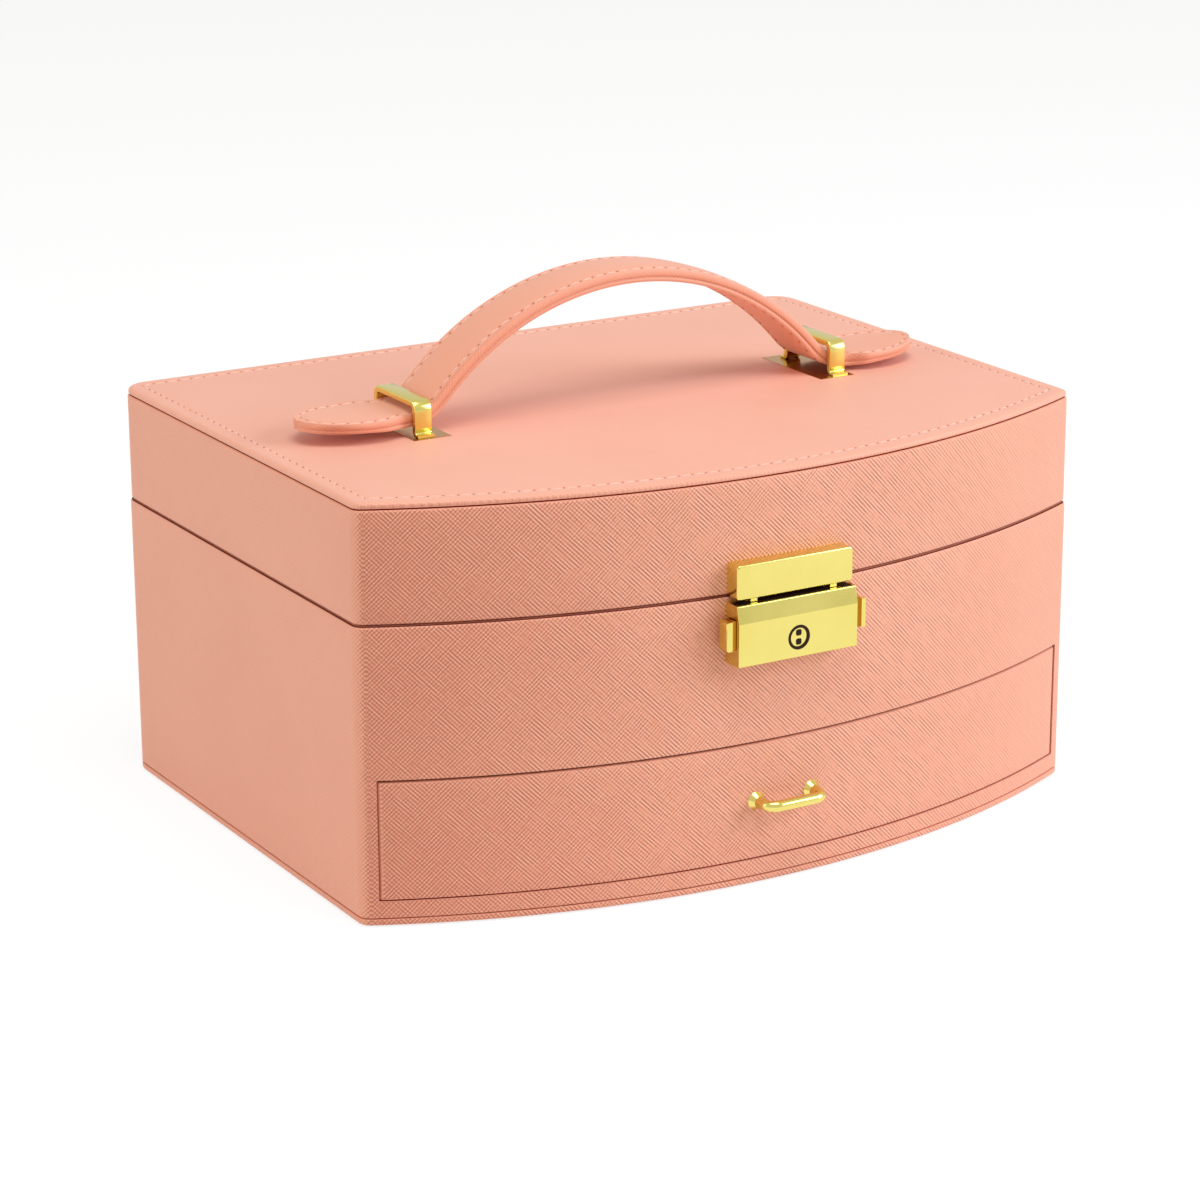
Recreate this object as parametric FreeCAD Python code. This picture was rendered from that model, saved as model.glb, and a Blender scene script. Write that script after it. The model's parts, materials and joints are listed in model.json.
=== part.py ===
import FreeCAD, Part
import math
import os

from FreeCAD import Vector

# Bow-fronted jewellery box: case with tray and drawer, hinged lid, strap handle and press lock.
# Millimetres. +Z up, the front faces -Y. The origin is on the underside, at the middle of the plan.

# Outside of the case and lid
width = 220.0
side_depth = 143.0
bow = 26.5
back_corner_r = 8.0
front_corner_r = 4.0
case_height = 79.8
seam_gap = 0.3
lid_wall_top = 109.5
lid_inset = 0.35
panel_thick = 2.0

# For making the shapes: how far a cutter overshoots, and how near counts as the same place
over = 1.0
same = 1e-4

# Boards and coverings
board = 3.2
cover = 0.8
rim_round = 0.6
sheet_thick = 0.4
sheet_inset = 5.0
base_thick = 1.8
base_round = 0.3
groove = 0.3
bay_floor_thick = 3.1
shelf_thick = 3.0
shelf_drop = 1.0
deck_thick = 3.2

# Drawer opening and drawer
opening_bottom = 7.0
opening_top = 39.5
drawer_gap = 0.7
slide_gap = 0.3
drawer_board = 3.0
drawer_bottom_thick = 2.0
drawer_side_gap = 0.8
drawer_side_height = 23.5
drawer_back_height = 28.0
drawer_back_gap = 3.5
drawer_lining_thick = 1.0
drawer_lining_height = 21.5
drawer_divider_thick = 2.0
drawer_divider_height = 18.0
drawer_long_divider_y = -6.0
drawer_cross_divider_x = 38.0
drawer_travel = 120.0
stop_width = 20.0
stop_depth = 6.0
stop_overlap = 1.0
runner_width = 6.0
runner_inset = 5.0
runner_front_gap = 4.0
runner_back_gap = 2.0

# Tray in the case
tray_pad = 1.5
tray_lining_thick = 1.5
tray_lining_drop = 3.0
divider_thick = 2.2
divider_height = 27.0
long_divider_y = 22.0
back_divider_x = 36.0
ring_bay_width = 104.0
roll_count = 7
roll_width = 11.4
roll_height = 21.0
roll_pitch = 12.4
roll_clear = 0.4
roll_lift = 0.1
# Share of the length from the middle, and share of the full section there
roll_ends = ((0.4, 1.0), (0.47, 0.95), (0.5, 0.84))
roll_end_sink = 0.4

# Lid inside
lid_lining_thick = 1.2
lid_lining_rise = 1.2
ceiling_thick = 1.8
mirror_width = 150.0
mirror_depth = 104.0
mirror_thick = 1.5
mirror_y = 2.0
mirror_frame_width = 8.0
mirror_frame_thick = 3.0
mirror_lip = 1.5
mirror_fit = 0.3
mirror_corner_r = 4.0
mirror_frame_round = 0.8

# Top panel
panel_inset = 0.25
panel_edge = 1.1
panel_gap = 0.3
panel_board_thick = 0.9
panel_round = 0.8
panel_under_round = 0.4

# Handle
handle_y = 0.5
strap_width = 19.0
strap_thick = 3.6
strap_rise = 32.6
arch_r = 76.0
heel_r = 15.0
flap_width = 23.6
flap_reach = 26.2
flap_end = 17.0
flap_neck = 8.0
neck_gap = 1.0
strap_run = 5.0
strap_lift = 0.4
core_length = 50.0
core_width = 13.0
core_thick = 1.4
core_fit = 0.05
loop_inset = 4.8
loop_strip = 5.0
loop_thick = 1.8
loop_clear = 0.5
loop_over = 1.35
loop_round = 1.0
loop_foot = 1.4
loop_foot_thick = 0.8
plate_size = (11.0, 30.0, 0.6)
plate_shift = 1.5
plate_y_shift = 1.0
plate_proud = 0.1
stud_r = 1.2
nut_r = 2.4
nut_thick = 1.6
nut_fit = 0.3
stud_set_back = 0.2

# Lock on the case
lock_width = 36.2
lock_bottom = 62.4
lock_top_drop = 1.3
lock_proud = 5.85
lock_lean = 1.0
lock_lean_height = 4.6
lock_wall = 0.8
lock_round = 0.4
lock_plate_thick = 0.8
lock_plate_fit = 0.05
barrel_rise = 5.4
barrel_r = 2.9
barrel_fit = 0.05
barrel_flange_r = 3.6
barrel_flange = 0.7
barrel_stub_r = 1.2
barrel_set_back = 0.25
flange_clear = 0.15
stub_clear = 0.1
keyway_width = 1.9
keyway_tip = 2.45
keyway_bar = 0.65
keyway_depth = 3.0
cam_r = 4.2
cam_thick = 0.8
cam_width = 3.2
cam_hub_r = 2.2
cam_clear = 0.3
button_travel = 1.5
button_out = 2.6
button_rise = 4.7
button_height = 7.5
button_set_back = 1.6
button_depth = 3.1
button_length = 4.9
button_fit = 0.3
button_round = 0.6
slide_plate_thick = 2.0
slide_inner_x = 6.0
spring_post_x = 1.0
spring_r = 0.95
spring_hole_r = 0.55
spring_post_fit = 0.3
spring_post_rise = 0.2
lock_screw_x = 9.0
lock_screw_rise = 2.8
lock_screw_r = 0.9
lock_screw_skin = 0.6
lock_boss_r = 1.7
screw_head_r = 2.0
screw_head = 1.2

# Hasp on the lid
hasp_width = 35.2
hasp_bottom_gap = 0.2
hasp_height = 8.5
hasp_proud = 4.0
hasp_round = 0.4
hasp_corner = 1.1
prong_x = 12.1
prong_width = 2.0
prong_depth = 1.2
prong_set_back = 0.75
prong_reach = 9.0
prong_clear = 0.4
catch_clear = 0.2
prong_chamfer = 0.4
prong_tenon = 1.2
hasp_screw_x = 10.0
hasp_screw_skin = 2.0

# Hinges
hinge_x = 62.0
leaf_width = 24.0
leaf_height = 10.0
leaf_thick = 1.0
knuckle_r = 2.0
knuckle_gap = 0.15
knuckle_count = 5
hinge_gap = 0.35
pin_r = 0.9
pin_fit = 0.04
pin_head = 0.5
pin_head_r = 1.5
pin_head_gap = 0.1
stop_fin_reach = 4.6
stop_clear = 0.2
lid_open_deg = 95.0
leaf_screw_x = 7.5
leaf_screw_rise = 6.5
leaf_screw_r = 0.8
leaf_screw_length = 4.2
leaf_screw_head_r = 1.6

# Drawer pull
pull_span = 17.0
pull_z = 23.1
pull_proud = 7.7
pull_rod_r = 1.5
pull_bend_r = 3.0
pull_base_r = 2.9
pull_base = 1.4
pull_sink = 0.6
pull_screw_r = 1.1
pull_screw_reach = 4.0
pull_head_r = 2.8
pull_head = 1.4

# Worked out from the sizes above
bow_r = ((width / 2) ** 2 + bow ** 2) / (2 * bow)
depth = side_depth + bow
back_y = depth / 2
front_y = -depth / 2
bow_centre_y = front_y + bow_r
wall = board + cover
inner_x = width / 2 - wall
inner_back_y = back_y - wall
base_top = sheet_thick + base_thick
floor_top = base_top + bay_floor_thick
shelf_bottom = opening_top + shelf_drop
shelf_top = shelf_bottom + shelf_thick
tray_floor = shelf_top + tray_pad
case_board_top = case_height - cover
panel_top = lid_wall_top + panel_thick
lid_bottom = case_height + seam_gap
lid_board_bottom = lid_bottom + cover
deck_bottom = lid_wall_top - deck_thick
ceiling = deck_bottom - ceiling_thick
hinge_z = case_height + seam_gap / 2
hinge_y = back_y + hinge_gap + knuckle_r
drawer_bottom_z = opening_bottom + drawer_gap
drawer_floor = drawer_bottom_z + drawer_bottom_thick
drawer_front_top = opening_top - drawer_gap
drawer_half = inner_x - drawer_gap
drawer_box_half = inner_x - drawer_side_gap
drawer_back_y = inner_back_y - drawer_back_gap
strap_base = panel_top + strap_lift
lock_front_y = front_y - lock_proud
lock_top = case_height - lock_top_drop
hasp_bottom = lid_bottom + hasp_bottom_gap
barrel_z = lock_bottom + barrel_rise
button_bottom = lock_bottom + button_rise
button_top = button_bottom + button_height
slide_top = button_top
slide_bottom = slide_top - slide_plate_thick
arch_centre_z = strap_base + strap_rise - arch_r
heel_centre_z = strap_base + heel_r
heel_x = math.sqrt((arch_r + heel_r) ** 2 - (heel_centre_z - arch_centre_z) ** 2)
arch_lean = math.asin(heel_x / (arch_r + heel_r))
flap_tip = heel_x + flap_reach
loop_x = heel_x - loop_inset


def box(x0, x1, y0, y1, z0, z1):
    return Part.makeBox(x1 - x0, y1 - y0, z1 - z0, Vector(x0, y0, z0))


def rod(start, axis, radius, length):
    return Part.makeCylinder(radius, length, Vector(*start), Vector(*axis))


def save(node, *solids):
    found = [s for shape in solids for s in shape.Solids]
    shape = found[0] if len(found) == 1 else Part.makeCompound(found)
    shape.exportStep(os.path.join("parts", node + ".step"))
    print(node, len(found), "solids", round(shape.Volume, 1), "mm3", shape.isValid())


def line(a, b):
    return Part.makeLine(Vector(*a), Vector(*b))


def arc(a, middle, b):
    return Part.Arc(Vector(*a), Vector(*middle), Vector(*b)).toShape()


def arc_about(centre, radius, start_deg, end_deg, z):
    """Arc in plan about a centre, from one bearing to another."""
    bearings = [start_deg, (start_deg + end_deg) / 2, end_deg]
    points = []
    for bearing in bearings:
        turn = math.radians(bearing)
        points.append((centre[0] + radius * math.cos(turn), centre[1] + radius * math.sin(turn), z))
    return arc(*points)


def bow_y(x, offset):
    """Where the bowed front lies at x, for a face set in by offset."""
    return bow_centre_y - math.sqrt((bow_r - offset) ** 2 - x ** 2)


def plan_wire(offset, z, round_corners=True):
    """Outline of the box in plan, set in by offset: straight sides and back, bowed front."""
    half = width / 2 - offset
    back = back_y - offset
    front_r = bow_r - offset
    rear = back_corner_r - offset if round_corners else 0.0
    fore = front_corner_r - offset if round_corners else 0.0
    edges = []
    if fore > same:
        corner_y = bow_centre_y - math.sqrt((front_r - fore) ** 2 - (half - fore) ** 2)
        lean = math.degrees(math.atan2(corner_y - bow_centre_y, half - fore))
        edges.append(arc_about((0, bow_centre_y), front_r, -180 - lean, lean, z))
        edges.append(arc_about((half - fore, corner_y), fore, lean, 0, z))
        side_start = corner_y
    else:
        side_start = bow_y(half, offset)
        edges.append(arc((-half, side_start, z), (0, bow_centre_y - front_r, z), (half, side_start, z)))
    edges.append(line((half, side_start, z), (half, back - rear, z)))
    if rear > same:
        edges.append(arc_about((half - rear, back - rear), rear, 0, 90, z))
    edges.append(line((half - rear, back, z), (-half + rear, back, z)))
    if rear > same:
        edges.append(arc_about((-half + rear, back - rear), rear, 90, 180, z))
    edges.append(line((-half, back - rear, z), (-half, side_start, z)))
    if fore > same:
        edges.append(arc_about((-half + fore, corner_y), fore, 180, 180 - lean, z))
    return Part.Wire(Part.__sortEdges__(edges))


def plan_prism(offset, z0, z1, round_corners=True):
    face = Part.Face(plan_wire(offset, z0, round_corners))
    return face.extrude(Vector(0, 0, z1 - z0))


def edges_at(shape, z):
    """Edges that lie level at height z."""
    return [e for e in shape.Edges if abs(e.BoundBox.ZMin - z) < same and abs(e.BoundBox.ZMax - z) < same]


def rounded_prism(offset, z0, z1, top_r=0.0, bottom_r=0.0):
    """Plan prism with its top and bottom rims rounded."""
    shape = plan_prism(offset, z0, z1)
    if top_r > 0:
        shape = shape.makeFillet(top_r, edges_at(shape, z1))
    if bottom_r > 0:
        shape = shape.makeFillet(bottom_r, edges_at(shape, z0))
    return shape


def behind_bow(offset, z0, z1):
    """Everything behind the bowed front set in by offset."""
    return rod((0, bow_centre_y, z0), (0, 0, 1), bow_r - offset, z1 - z0)


def bowed_board(half, outer, inner, z0, z1):
    """Upright board that follows the bow between two offsets, with square ends."""
    slab = box(-half, half, front_y - over, bow_y(half, inner) + over, z0, z1)
    return slab.common(behind_bow(outer, z0, z1)).cut(behind_bow(inner, z0 - over, z1 + over))


def rounded_rect(half_x, half_y, radius, y, z0, z1):
    """Upright prism on a rectangle with round corners, centred on x = 0."""
    shape = box(-half_x, half_x, y - half_y, y + half_y, z0, z1)
    upright = [e for e in shape.Edges if abs(e.BoundBox.ZLength - (z1 - z0)) < same]
    return shape.makeFillet(radius, upright)


def both_sides(make):
    """The same piece at x = +1 and x = -1."""
    return [make(1), make(-1)]


# Fasteners are made first, because their holes are cut from what they pass through.

def countersunk(tip, axis, shank_r, length, head_r, head):
    """Screw whose flat head ends the shank at tip + axis * length."""
    shank = rod(tip, axis, shank_r, length)
    start = [tip[i] + axis[i] * (length - head) for i in range(3)]
    cone = Part.makeCone(shank_r, head_r, head, Vector(*start), Vector(*axis))
    return shank.fuse(cone).removeSplitter()


def case_leaf_screw(x):
    tip = (x, back_y + leaf_thick - leaf_screw_length, hinge_z - leaf_screw_rise)
    return countersunk(tip, (0, 1, 0), leaf_screw_r, leaf_screw_length, leaf_screw_head_r, leaf_thick)


def lid_leaf_screw(x):
    tip = (x, back_y - lid_inset + leaf_thick - leaf_screw_length, hinge_z + leaf_screw_rise)
    return countersunk(tip, (0, 1, 0), leaf_screw_r, leaf_screw_length, leaf_screw_head_r, leaf_thick)


def hinge_screws(make):
    places = [side * hinge_x + way * leaf_screw_x for side in (-1, 1) for way in (-1, 1)]
    return [make(x) for x in places]


def lock_screw(side):
    head_y = bow_y(lock_screw_x - screw_head_r, wall)
    tip_y = lock_front_y + lock_wall + lock_screw_skin
    tip = (side * lock_screw_x, tip_y, lock_bottom + lock_screw_rise)
    return countersunk(tip, (0, 1, 0), lock_screw_r, head_y - tip_y, screw_head_r, screw_head)


def hasp_screw(side):
    head_y = bow_y(hasp_screw_x - screw_head_r, lid_inset + wall)
    tip_y = front_y - hasp_proud + hasp_screw_skin
    tip = (side * hasp_screw_x, tip_y, hasp_bottom + hasp_height / 2)
    return countersunk(tip, (0, 1, 0), lock_screw_r, head_y - tip_y, screw_head_r, screw_head)


def pull_screw(side):
    x = side * pull_span / 2
    seat_y = bow_y(pull_span / 2 - pull_head_r, wall) - pull_head
    tip_y = front_y - pull_screw_reach
    shank = rod((x, tip_y, pull_z), (0, 1, 0), pull_screw_r, seat_y - tip_y)
    head = rod((x, seat_y, pull_z), (0, 1, 0), pull_head_r, pull_head)
    return shank.fuse(head).removeSplitter()


loop_half = strap_width / 2 + loop_clear
stud_y = loop_half + loop_thick / 2


def stud_places():
    return [(sx * loop_x, handle_y + sy * stud_y) for sx in (-1, 1) for sy in (-1, 1)]


def stud_holes(radius, z0, z1):
    return [rod((x, y, z0), (0, 0, 1), radius, z1 - z0) for x, y in stud_places()]


# Case

def underside_sheet():
    return plan_prism(sheet_inset, 0, sheet_thick)


def base_plate():
    return rounded_prism(0, sheet_thick, base_top, top_r=base_round, bottom_r=rim_round)


def bay_floor():
    return plan_prism(wall, base_top, floor_top, round_corners=False)


def wall_ring(outer_offset, inner_offset, z0, z1):
    hollow = plan_prism(inner_offset, z0 - over, z1 + over, round_corners=False)
    return plan_prism(outer_offset, z0, z1).cut(hollow)


def side_board(side, outer, z0, z1):
    """One side board of a ring of boards whose outer face is set in by outer."""
    reach = width / 2 - outer - board
    region = box(reach, width, -depth, depth, z0, z1)
    if side < 0:
        region = box(-width, -reach, -depth, depth, z0, z1)
    return wall_ring(outer, outer + board, z0, z1).common(region)


def back_board(outer, z0, z1):
    reach = width / 2 - outer - board
    region = box(-reach, reach, back_y - outer - board, back_y, z0, z1)
    return wall_ring(outer, outer + board, z0, z1).common(region)


def case_cover():
    """One covering: outside of every wall, turned over the rim, with the drawer opening cut out."""
    shape = rounded_prism(0, base_top + groove, case_height, top_r=rim_round)
    shape = shape.cut(plan_prism(cover, base_top, case_board_top))
    shape = shape.cut(plan_prism(wall, case_board_top - over, case_height + over, round_corners=False))
    shape = shape.cut(box(-inner_x, inner_x, -depth, bow_y(inner_x, wall), opening_bottom, opening_top))
    for screw in hinge_screws(case_leaf_screw) + both_sides(lock_screw):
        shape = shape.cut(screw)
    return shape


def shelf():
    return plan_prism(wall, shelf_bottom, shelf_top, round_corners=False)


def runner(side):
    outer = side * (inner_x - runner_inset)
    inner = outer - side * runner_width
    start = bow_y(inner_x, wall) + runner_front_gap
    end = inner_back_y - runner_back_gap
    top = drawer_bottom_z - slide_gap
    return box(min(outer, inner), max(outer, inner), start, end, floor_top, top)


def drawer_stop():
    """Block under the shelf that the drawer's back meets when it is drawn out."""
    front_of_back = drawer_back_y - drawer_board
    face = front_of_back - drawer_travel - slide_gap
    half = stop_width / 2
    bottom = drawer_floor + drawer_back_height - stop_overlap
    return box(-half, half, face - stop_depth, face, bottom, shelf_bottom)


def tray_pad_floor():
    return plan_prism(wall, shelf_top, tray_floor, round_corners=False)


def tray_lining():
    top = case_height - tray_lining_drop
    outer = plan_prism(wall, tray_floor, top, round_corners=False)
    hollow = plan_prism(wall + tray_lining_thick, tray_floor - over, top + over, round_corners=False)
    return outer.cut(hollow)


def tray_dividers():
    """One long divider, two in the back zone, and two that bound the ring bay."""
    inside = inner_x - tray_lining_thick
    z0 = tray_floor
    z1 = tray_floor + divider_height
    t = divider_thick / 2
    back = inner_back_y - tray_lining_thick
    pieces = [box(-inside, inside, long_divider_y - t, long_divider_y + t, z0, z1)]
    within = behind_bow(wall + tray_lining_thick, z0, z1)
    for side in (-1, 1):
        x = side * back_divider_x
        pieces.append(box(x - t, x + t, long_divider_y + t, back, z0, z1))
        x = side * (ring_bay_width / 2 + t)
        pieces.append(box(x - t, x + t, front_y, long_divider_y - t, z0, z1).common(within))
    return pieces


def roll_section(x, y, z, half, height):
    """Loaf-shaped section: flat underneath, straight sides, round top."""
    shoulder = z + height - half
    lean = half * math.sqrt(0.5)
    edges = [line((x, y - half, shoulder), (x, y - half, z)),
             line((x, y - half, z), (x, y + half, z)),
             line((x, y + half, z), (x, y + half, shoulder)),
             arc((x, y + half, shoulder), (x, y + lean, shoulder + lean), (x, y, z + height)),
             arc((x, y, z + height), (x, y - lean, shoulder + lean), (x, y - half, shoulder))]
    return Part.Wire(edges)


def ring_roll(y):
    """Foam roll, drawn in at both ends where its cloth is gathered."""
    length = ring_bay_width - 2 * roll_clear
    shares = [(-along, full) for along, full in reversed(roll_ends)] + list(roll_ends)
    sections = []
    for along, full in shares:
        height = roll_height * (1 - roll_end_sink * (1 - full))
        half = roll_width / 2 * full
        sections.append(roll_section(along * length, y, tray_floor + roll_lift, half, height))
    return Part.makeLoft(sections, True, True)


def ring_rolls():
    first = long_divider_y - divider_thick / 2 - roll_clear - roll_width / 2
    return [ring_roll(first - i * roll_pitch) for i in range(roll_count)]


# Lock

lock_half = lock_width / 2
cavity_half = lock_half - lock_wall
cavity_front = lock_front_y + lock_wall
plate_back_y = front_y - lock_plate_fit
plate_front_y = plate_back_y - lock_plate_thick
button_front = lock_front_y + button_set_back
button_back = button_front + button_depth
prong_front = front_y - hasp_proud + prong_set_back
prong_back = prong_front + prong_depth
cam_front = plate_front_y - cam_clear - cam_thick


def before_lean(face_y):
    """What stands in front of a face at face_y that leans back over the housing's upper part."""
    bend = lock_top - lock_lean_height
    corners = [(face_y - over, bend), (face_y, bend), (face_y + lock_lean, lock_top),
               (face_y + lock_lean, lock_top + over), (face_y - over, lock_top + over)]
    points = [Vector(-lock_width, y, z) for y, z in corners]
    return Part.Face(Part.makePolygon(points + points[:1])).extrude(Vector(2 * lock_width, 0, 0))


def lock_body():
    """Cast housing, open at the back, with windows for buttons, prongs and key barrel."""
    rear = bow_y(lock_half, 0) + over
    shape = box(-lock_half, lock_half, lock_front_y, rear, lock_bottom, lock_top)
    shape = shape.cut(before_lean(lock_front_y))
    edges = [e for e in shape.Edges if e.BoundBox.YMax < lock_front_y + lock_lean + same]
    shape = shape.makeFillet(lock_round, edges)
    hollow = box(-cavity_half, cavity_half, cavity_front, back_y,
                 lock_bottom + lock_wall, lock_top - lock_wall).cut(before_lean(cavity_front))
    shape = shape.cut(hollow).cut(behind_bow(0, lock_bottom - over, lock_top + over))
    for side in (-1, 1):
        boss = rod((side * lock_screw_x, cavity_front, lock_bottom + lock_screw_rise), (0, 1, 0),
                   lock_boss_r, plate_front_y - cavity_front)
        shape = shape.fuse(boss).cut(lock_screw(side))
        reach = sorted((side * (cavity_half - over), side * (lock_half + over)))
        shape = shape.cut(box(*reach, button_front - button_fit, button_back + button_fit,
                              button_bottom - button_fit, button_top + button_fit))
        slot = box(-prong_width / 2 - prong_clear, prong_width / 2 + prong_clear,
                   prong_front - prong_clear, prong_back + prong_clear, lock_top - 2 * lock_wall,
                   lock_top + over)
        slot.translate(Vector(side * prong_x, 0, 0))
        shape = shape.cut(slot)
    hole = rod((0, lock_front_y - over, barrel_z), (0, 1, 0), barrel_r + barrel_fit, lock_wall + 2 * over)
    return shape.cut(hole).removeSplitter()


def lock_plate():
    """Back plate of the lock, with the post between the springs and the barrel's rear bearing."""
    plate = box(-cavity_half, cavity_half, plate_front_y, plate_back_y,
                lock_bottom + lock_wall, lock_top - lock_wall)
    mid_y = (button_front + button_back) / 2
    post = box(-spring_post_x, spring_post_x, mid_y - spring_r - spring_post_fit, plate_front_y,
               slide_bottom - spring_post_rise, slide_top + spring_post_rise)
    bearing = rod((0, plate_front_y - over, barrel_z), (0, 1, 0), barrel_stub_r + barrel_fit,
                  lock_plate_thick + 2 * over)
    shape = plate.fuse(post).cut(bearing)
    for side in (-1, 1):
        shape = shape.cut(lock_screw(side))
    return shape.removeSplitter()


button_outer = lock_half + button_out
button_inner = button_outer - button_length


def on_side(side, shape):
    """A shape made at +x, mirrored where side is -1."""
    if side < 0:
        return shape.mirror(Vector(0, 0, 0), Vector(1, 0, 0))
    return shape


def catch_button(side):
    """Side button of the lock."""
    head = box(button_inner, button_outer, button_front, button_back, button_bottom, button_top)
    edges = [e for e in head.Edges if abs(e.BoundBox.XMin - button_outer) < same]
    return on_side(side, head.makeFillet(button_round, edges))


def catch_slide(side):
    """Catch plate fixed to the button's inner face, whose window takes a prong of the hasp."""
    plate = box(slide_inner_x, button_inner, button_front, button_back, slide_bottom, slide_top)
    window = box(prong_x - prong_width / 2 - catch_clear,
                 prong_x + prong_width / 2 + button_travel + 2 * catch_clear,
                 prong_front - prong_clear, prong_back + prong_clear, slide_bottom - over, slide_top + over)
    return on_side(side, plate.cut(window))


def button_spring(side):
    """Stand-in sleeve for the small coil spring that pushes a button out."""
    mid_y = (button_front + button_back) / 2
    mid_z = (slide_bottom + slide_top) / 2
    start = (side * spring_post_x, mid_y, mid_z)
    length = slide_inner_x - spring_post_x
    sleeve = rod(start, (side, 0, 0), spring_r, length)
    return sleeve.cut(rod(start, (side, 0, 0), spring_hole_r, length))


def key_barrel():
    """Barrel with a plain keyway: two notches with a bar left between them."""
    face = lock_front_y + barrel_set_back
    shape = rod((0, face, barrel_z), (0, 1, 0), barrel_r, cam_front - face)
    flange = rod((0, cavity_front + flange_clear, barrel_z), (0, 1, 0), barrel_flange_r, barrel_flange)
    stub = rod((0, cam_front, barrel_z), (0, 1, 0), barrel_stub_r, plate_back_y - stub_clear - cam_front)
    shape = shape.fuse(flange).fuse(stub)
    for way in (-1, 1):
        low = min(way * keyway_bar, way * keyway_tip)
        high = max(way * keyway_bar, way * keyway_tip)
        notch = box(-keyway_width / 2, keyway_width / 2, lock_front_y, lock_front_y + keyway_depth,
                    barrel_z + low, barrel_z + high)
        shape = shape.cut(notch)
    return shape.removeSplitter()


def lock_cam():
    """Arm on the back of the barrel, hanging down when the lock is open."""
    hub = rod((0, cam_front, barrel_z), (0, 1, 0), cam_hub_r, cam_thick)
    arm = box(-cam_width / 2, cam_width / 2, cam_front, cam_front + cam_thick, barrel_z - cam_r, barrel_z)
    hole = rod((0, cam_front - over, barrel_z), (0, 1, 0), barrel_stub_r, cam_thick + 2 * over)
    return hub.fuse(arm).cut(hole).removeSplitter()


# Hinges

def knuckle(x0, index):
    """One knuckle of a hinge whose leaf starts at x0."""
    pitch = leaf_width / knuckle_count
    start = x0 + index * pitch + knuckle_gap / 2
    length = pitch - knuckle_gap
    return rod((start, hinge_y, hinge_z), (1, 0, 0), knuckle_r, length), start, length


def leaf(side, face_y, up, own):
    """One hinge leaf with its own knuckles; up is +1 for the lid's leaf and -1 for the case's."""
    x0 = side * hinge_x - leaf_width / 2
    near = hinge_z + up * (knuckle_r + hinge_gap)
    far = hinge_z + up * leaf_height
    shape = box(x0, x0 + leaf_width, face_y, face_y + leaf_thick, min(near, far), max(near, far))
    for index in own:
        barrel, start, length = knuckle(x0, index)
        web = box(start, start + length, face_y, face_y + leaf_thick,
                  min(hinge_z, near), max(hinge_z, near))
        bridge = box(start, start + length, face_y, hinge_y, min(hinge_z, hinge_z + up * leaf_thick),
                     max(hinge_z, hinge_z + up * leaf_thick))
        shape = shape.fuse(barrel).fuse(web).fuse(bridge)
        if up > 0:
            lean = stop_fin_reach * math.sin(math.radians(lid_open_deg - 90))
            half = hinge_y - back_y - leaf_thick - stop_clear - lean
            shape = shape.fuse(box(start, start + length, hinge_y, hinge_y + stop_fin_reach,
                                   hinge_z - half, hinge_z + half))
    bore = rod((x0 - over, hinge_y, hinge_z), (1, 0, 0), pin_r + pin_fit, leaf_width + 2 * over)
    return shape.cut(bore).removeSplitter()


def case_leaf(side):
    shape = leaf(side, back_y, -1, range(0, knuckle_count, 2))
    for screw in hinge_screws(case_leaf_screw):
        shape = shape.cut(screw)
    return shape


def lid_leaf(side):
    shape = leaf(side, back_y - lid_inset, 1, range(1, knuckle_count, 2))
    for screw in hinge_screws(lid_leaf_screw):
        shape = shape.cut(screw)
    return shape


def hinge_pin(side):
    """Pin with a small head at each end."""
    x0 = side * hinge_x - leaf_width / 2
    end = x0 + leaf_width + pin_head_gap
    shaft = rod((x0 - pin_head_gap, hinge_y, hinge_z), (1, 0, 0), pin_r, leaf_width + 2 * pin_head_gap)
    for start in (x0 - pin_head_gap - pin_head, end):
        shaft = shaft.fuse(rod((start, hinge_y, hinge_z), (1, 0, 0), pin_head_r, pin_head))
    return shaft.removeSplitter()


# Lid

lid_wall = lid_inset + wall


def lid_cover():
    """One covering: outside of the lid's walls, turned under the rim."""
    shape = rounded_prism(lid_inset, lid_bottom, lid_wall_top, top_r=rim_round, bottom_r=rim_round)
    shape = shape.cut(plan_prism(lid_inset + cover, lid_board_bottom, lid_wall_top + over))
    shape = shape.cut(plan_prism(lid_wall, lid_bottom - over, lid_wall_top, round_corners=False))
    for screw in hinge_screws(lid_leaf_screw) + both_sides(hasp_screw):
        shape = shape.cut(screw)
    return shape


def lid_deck():
    shape = plan_prism(lid_inset + cover, deck_bottom, lid_wall_top)
    for hole in stud_holes(stud_r, deck_bottom - over, lid_wall_top + over):
        shape = shape.cut(hole)
    for pocket in stud_holes(nut_r + nut_fit, deck_bottom - over, deck_bottom + nut_thick):
        shape = shape.cut(pocket)
    return shape


def lid_boards():
    """Back, front and side boards under the deck."""
    z0 = lid_board_bottom
    z1 = deck_bottom
    outer = lid_inset + cover
    back = back_board(outer, z0, z1)
    front = bowed_board(width / 2 - outer - board, outer, outer + board, z0, z1)
    for screw in hinge_screws(lid_leaf_screw):
        back = back.cut(screw)
    for screw in both_sides(hasp_screw):
        front = front.cut(screw)
    sides = both_sides(lambda side: side_board(side, outer, z0, z1))
    return back, front, sides


def panel_board():
    """Stiff card on the deck that carries the padded cover."""
    shape = plan_prism(lid_inset + panel_inset + panel_edge, lid_wall_top, lid_wall_top + panel_board_thick)
    for hole in stud_holes(stud_r, lid_wall_top - over, panel_top + over):
        shape = shape.cut(hole)
    return shape


def plate_block(side, z0, z1):
    x = side * (loop_x - plate_shift)
    y = handle_y + plate_y_shift
    half_x = plate_size[0] / 2
    half_y = plate_size[1] / 2
    return box(x - half_x, x + half_x, y - half_y, y + half_y, z0, z1)


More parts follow.
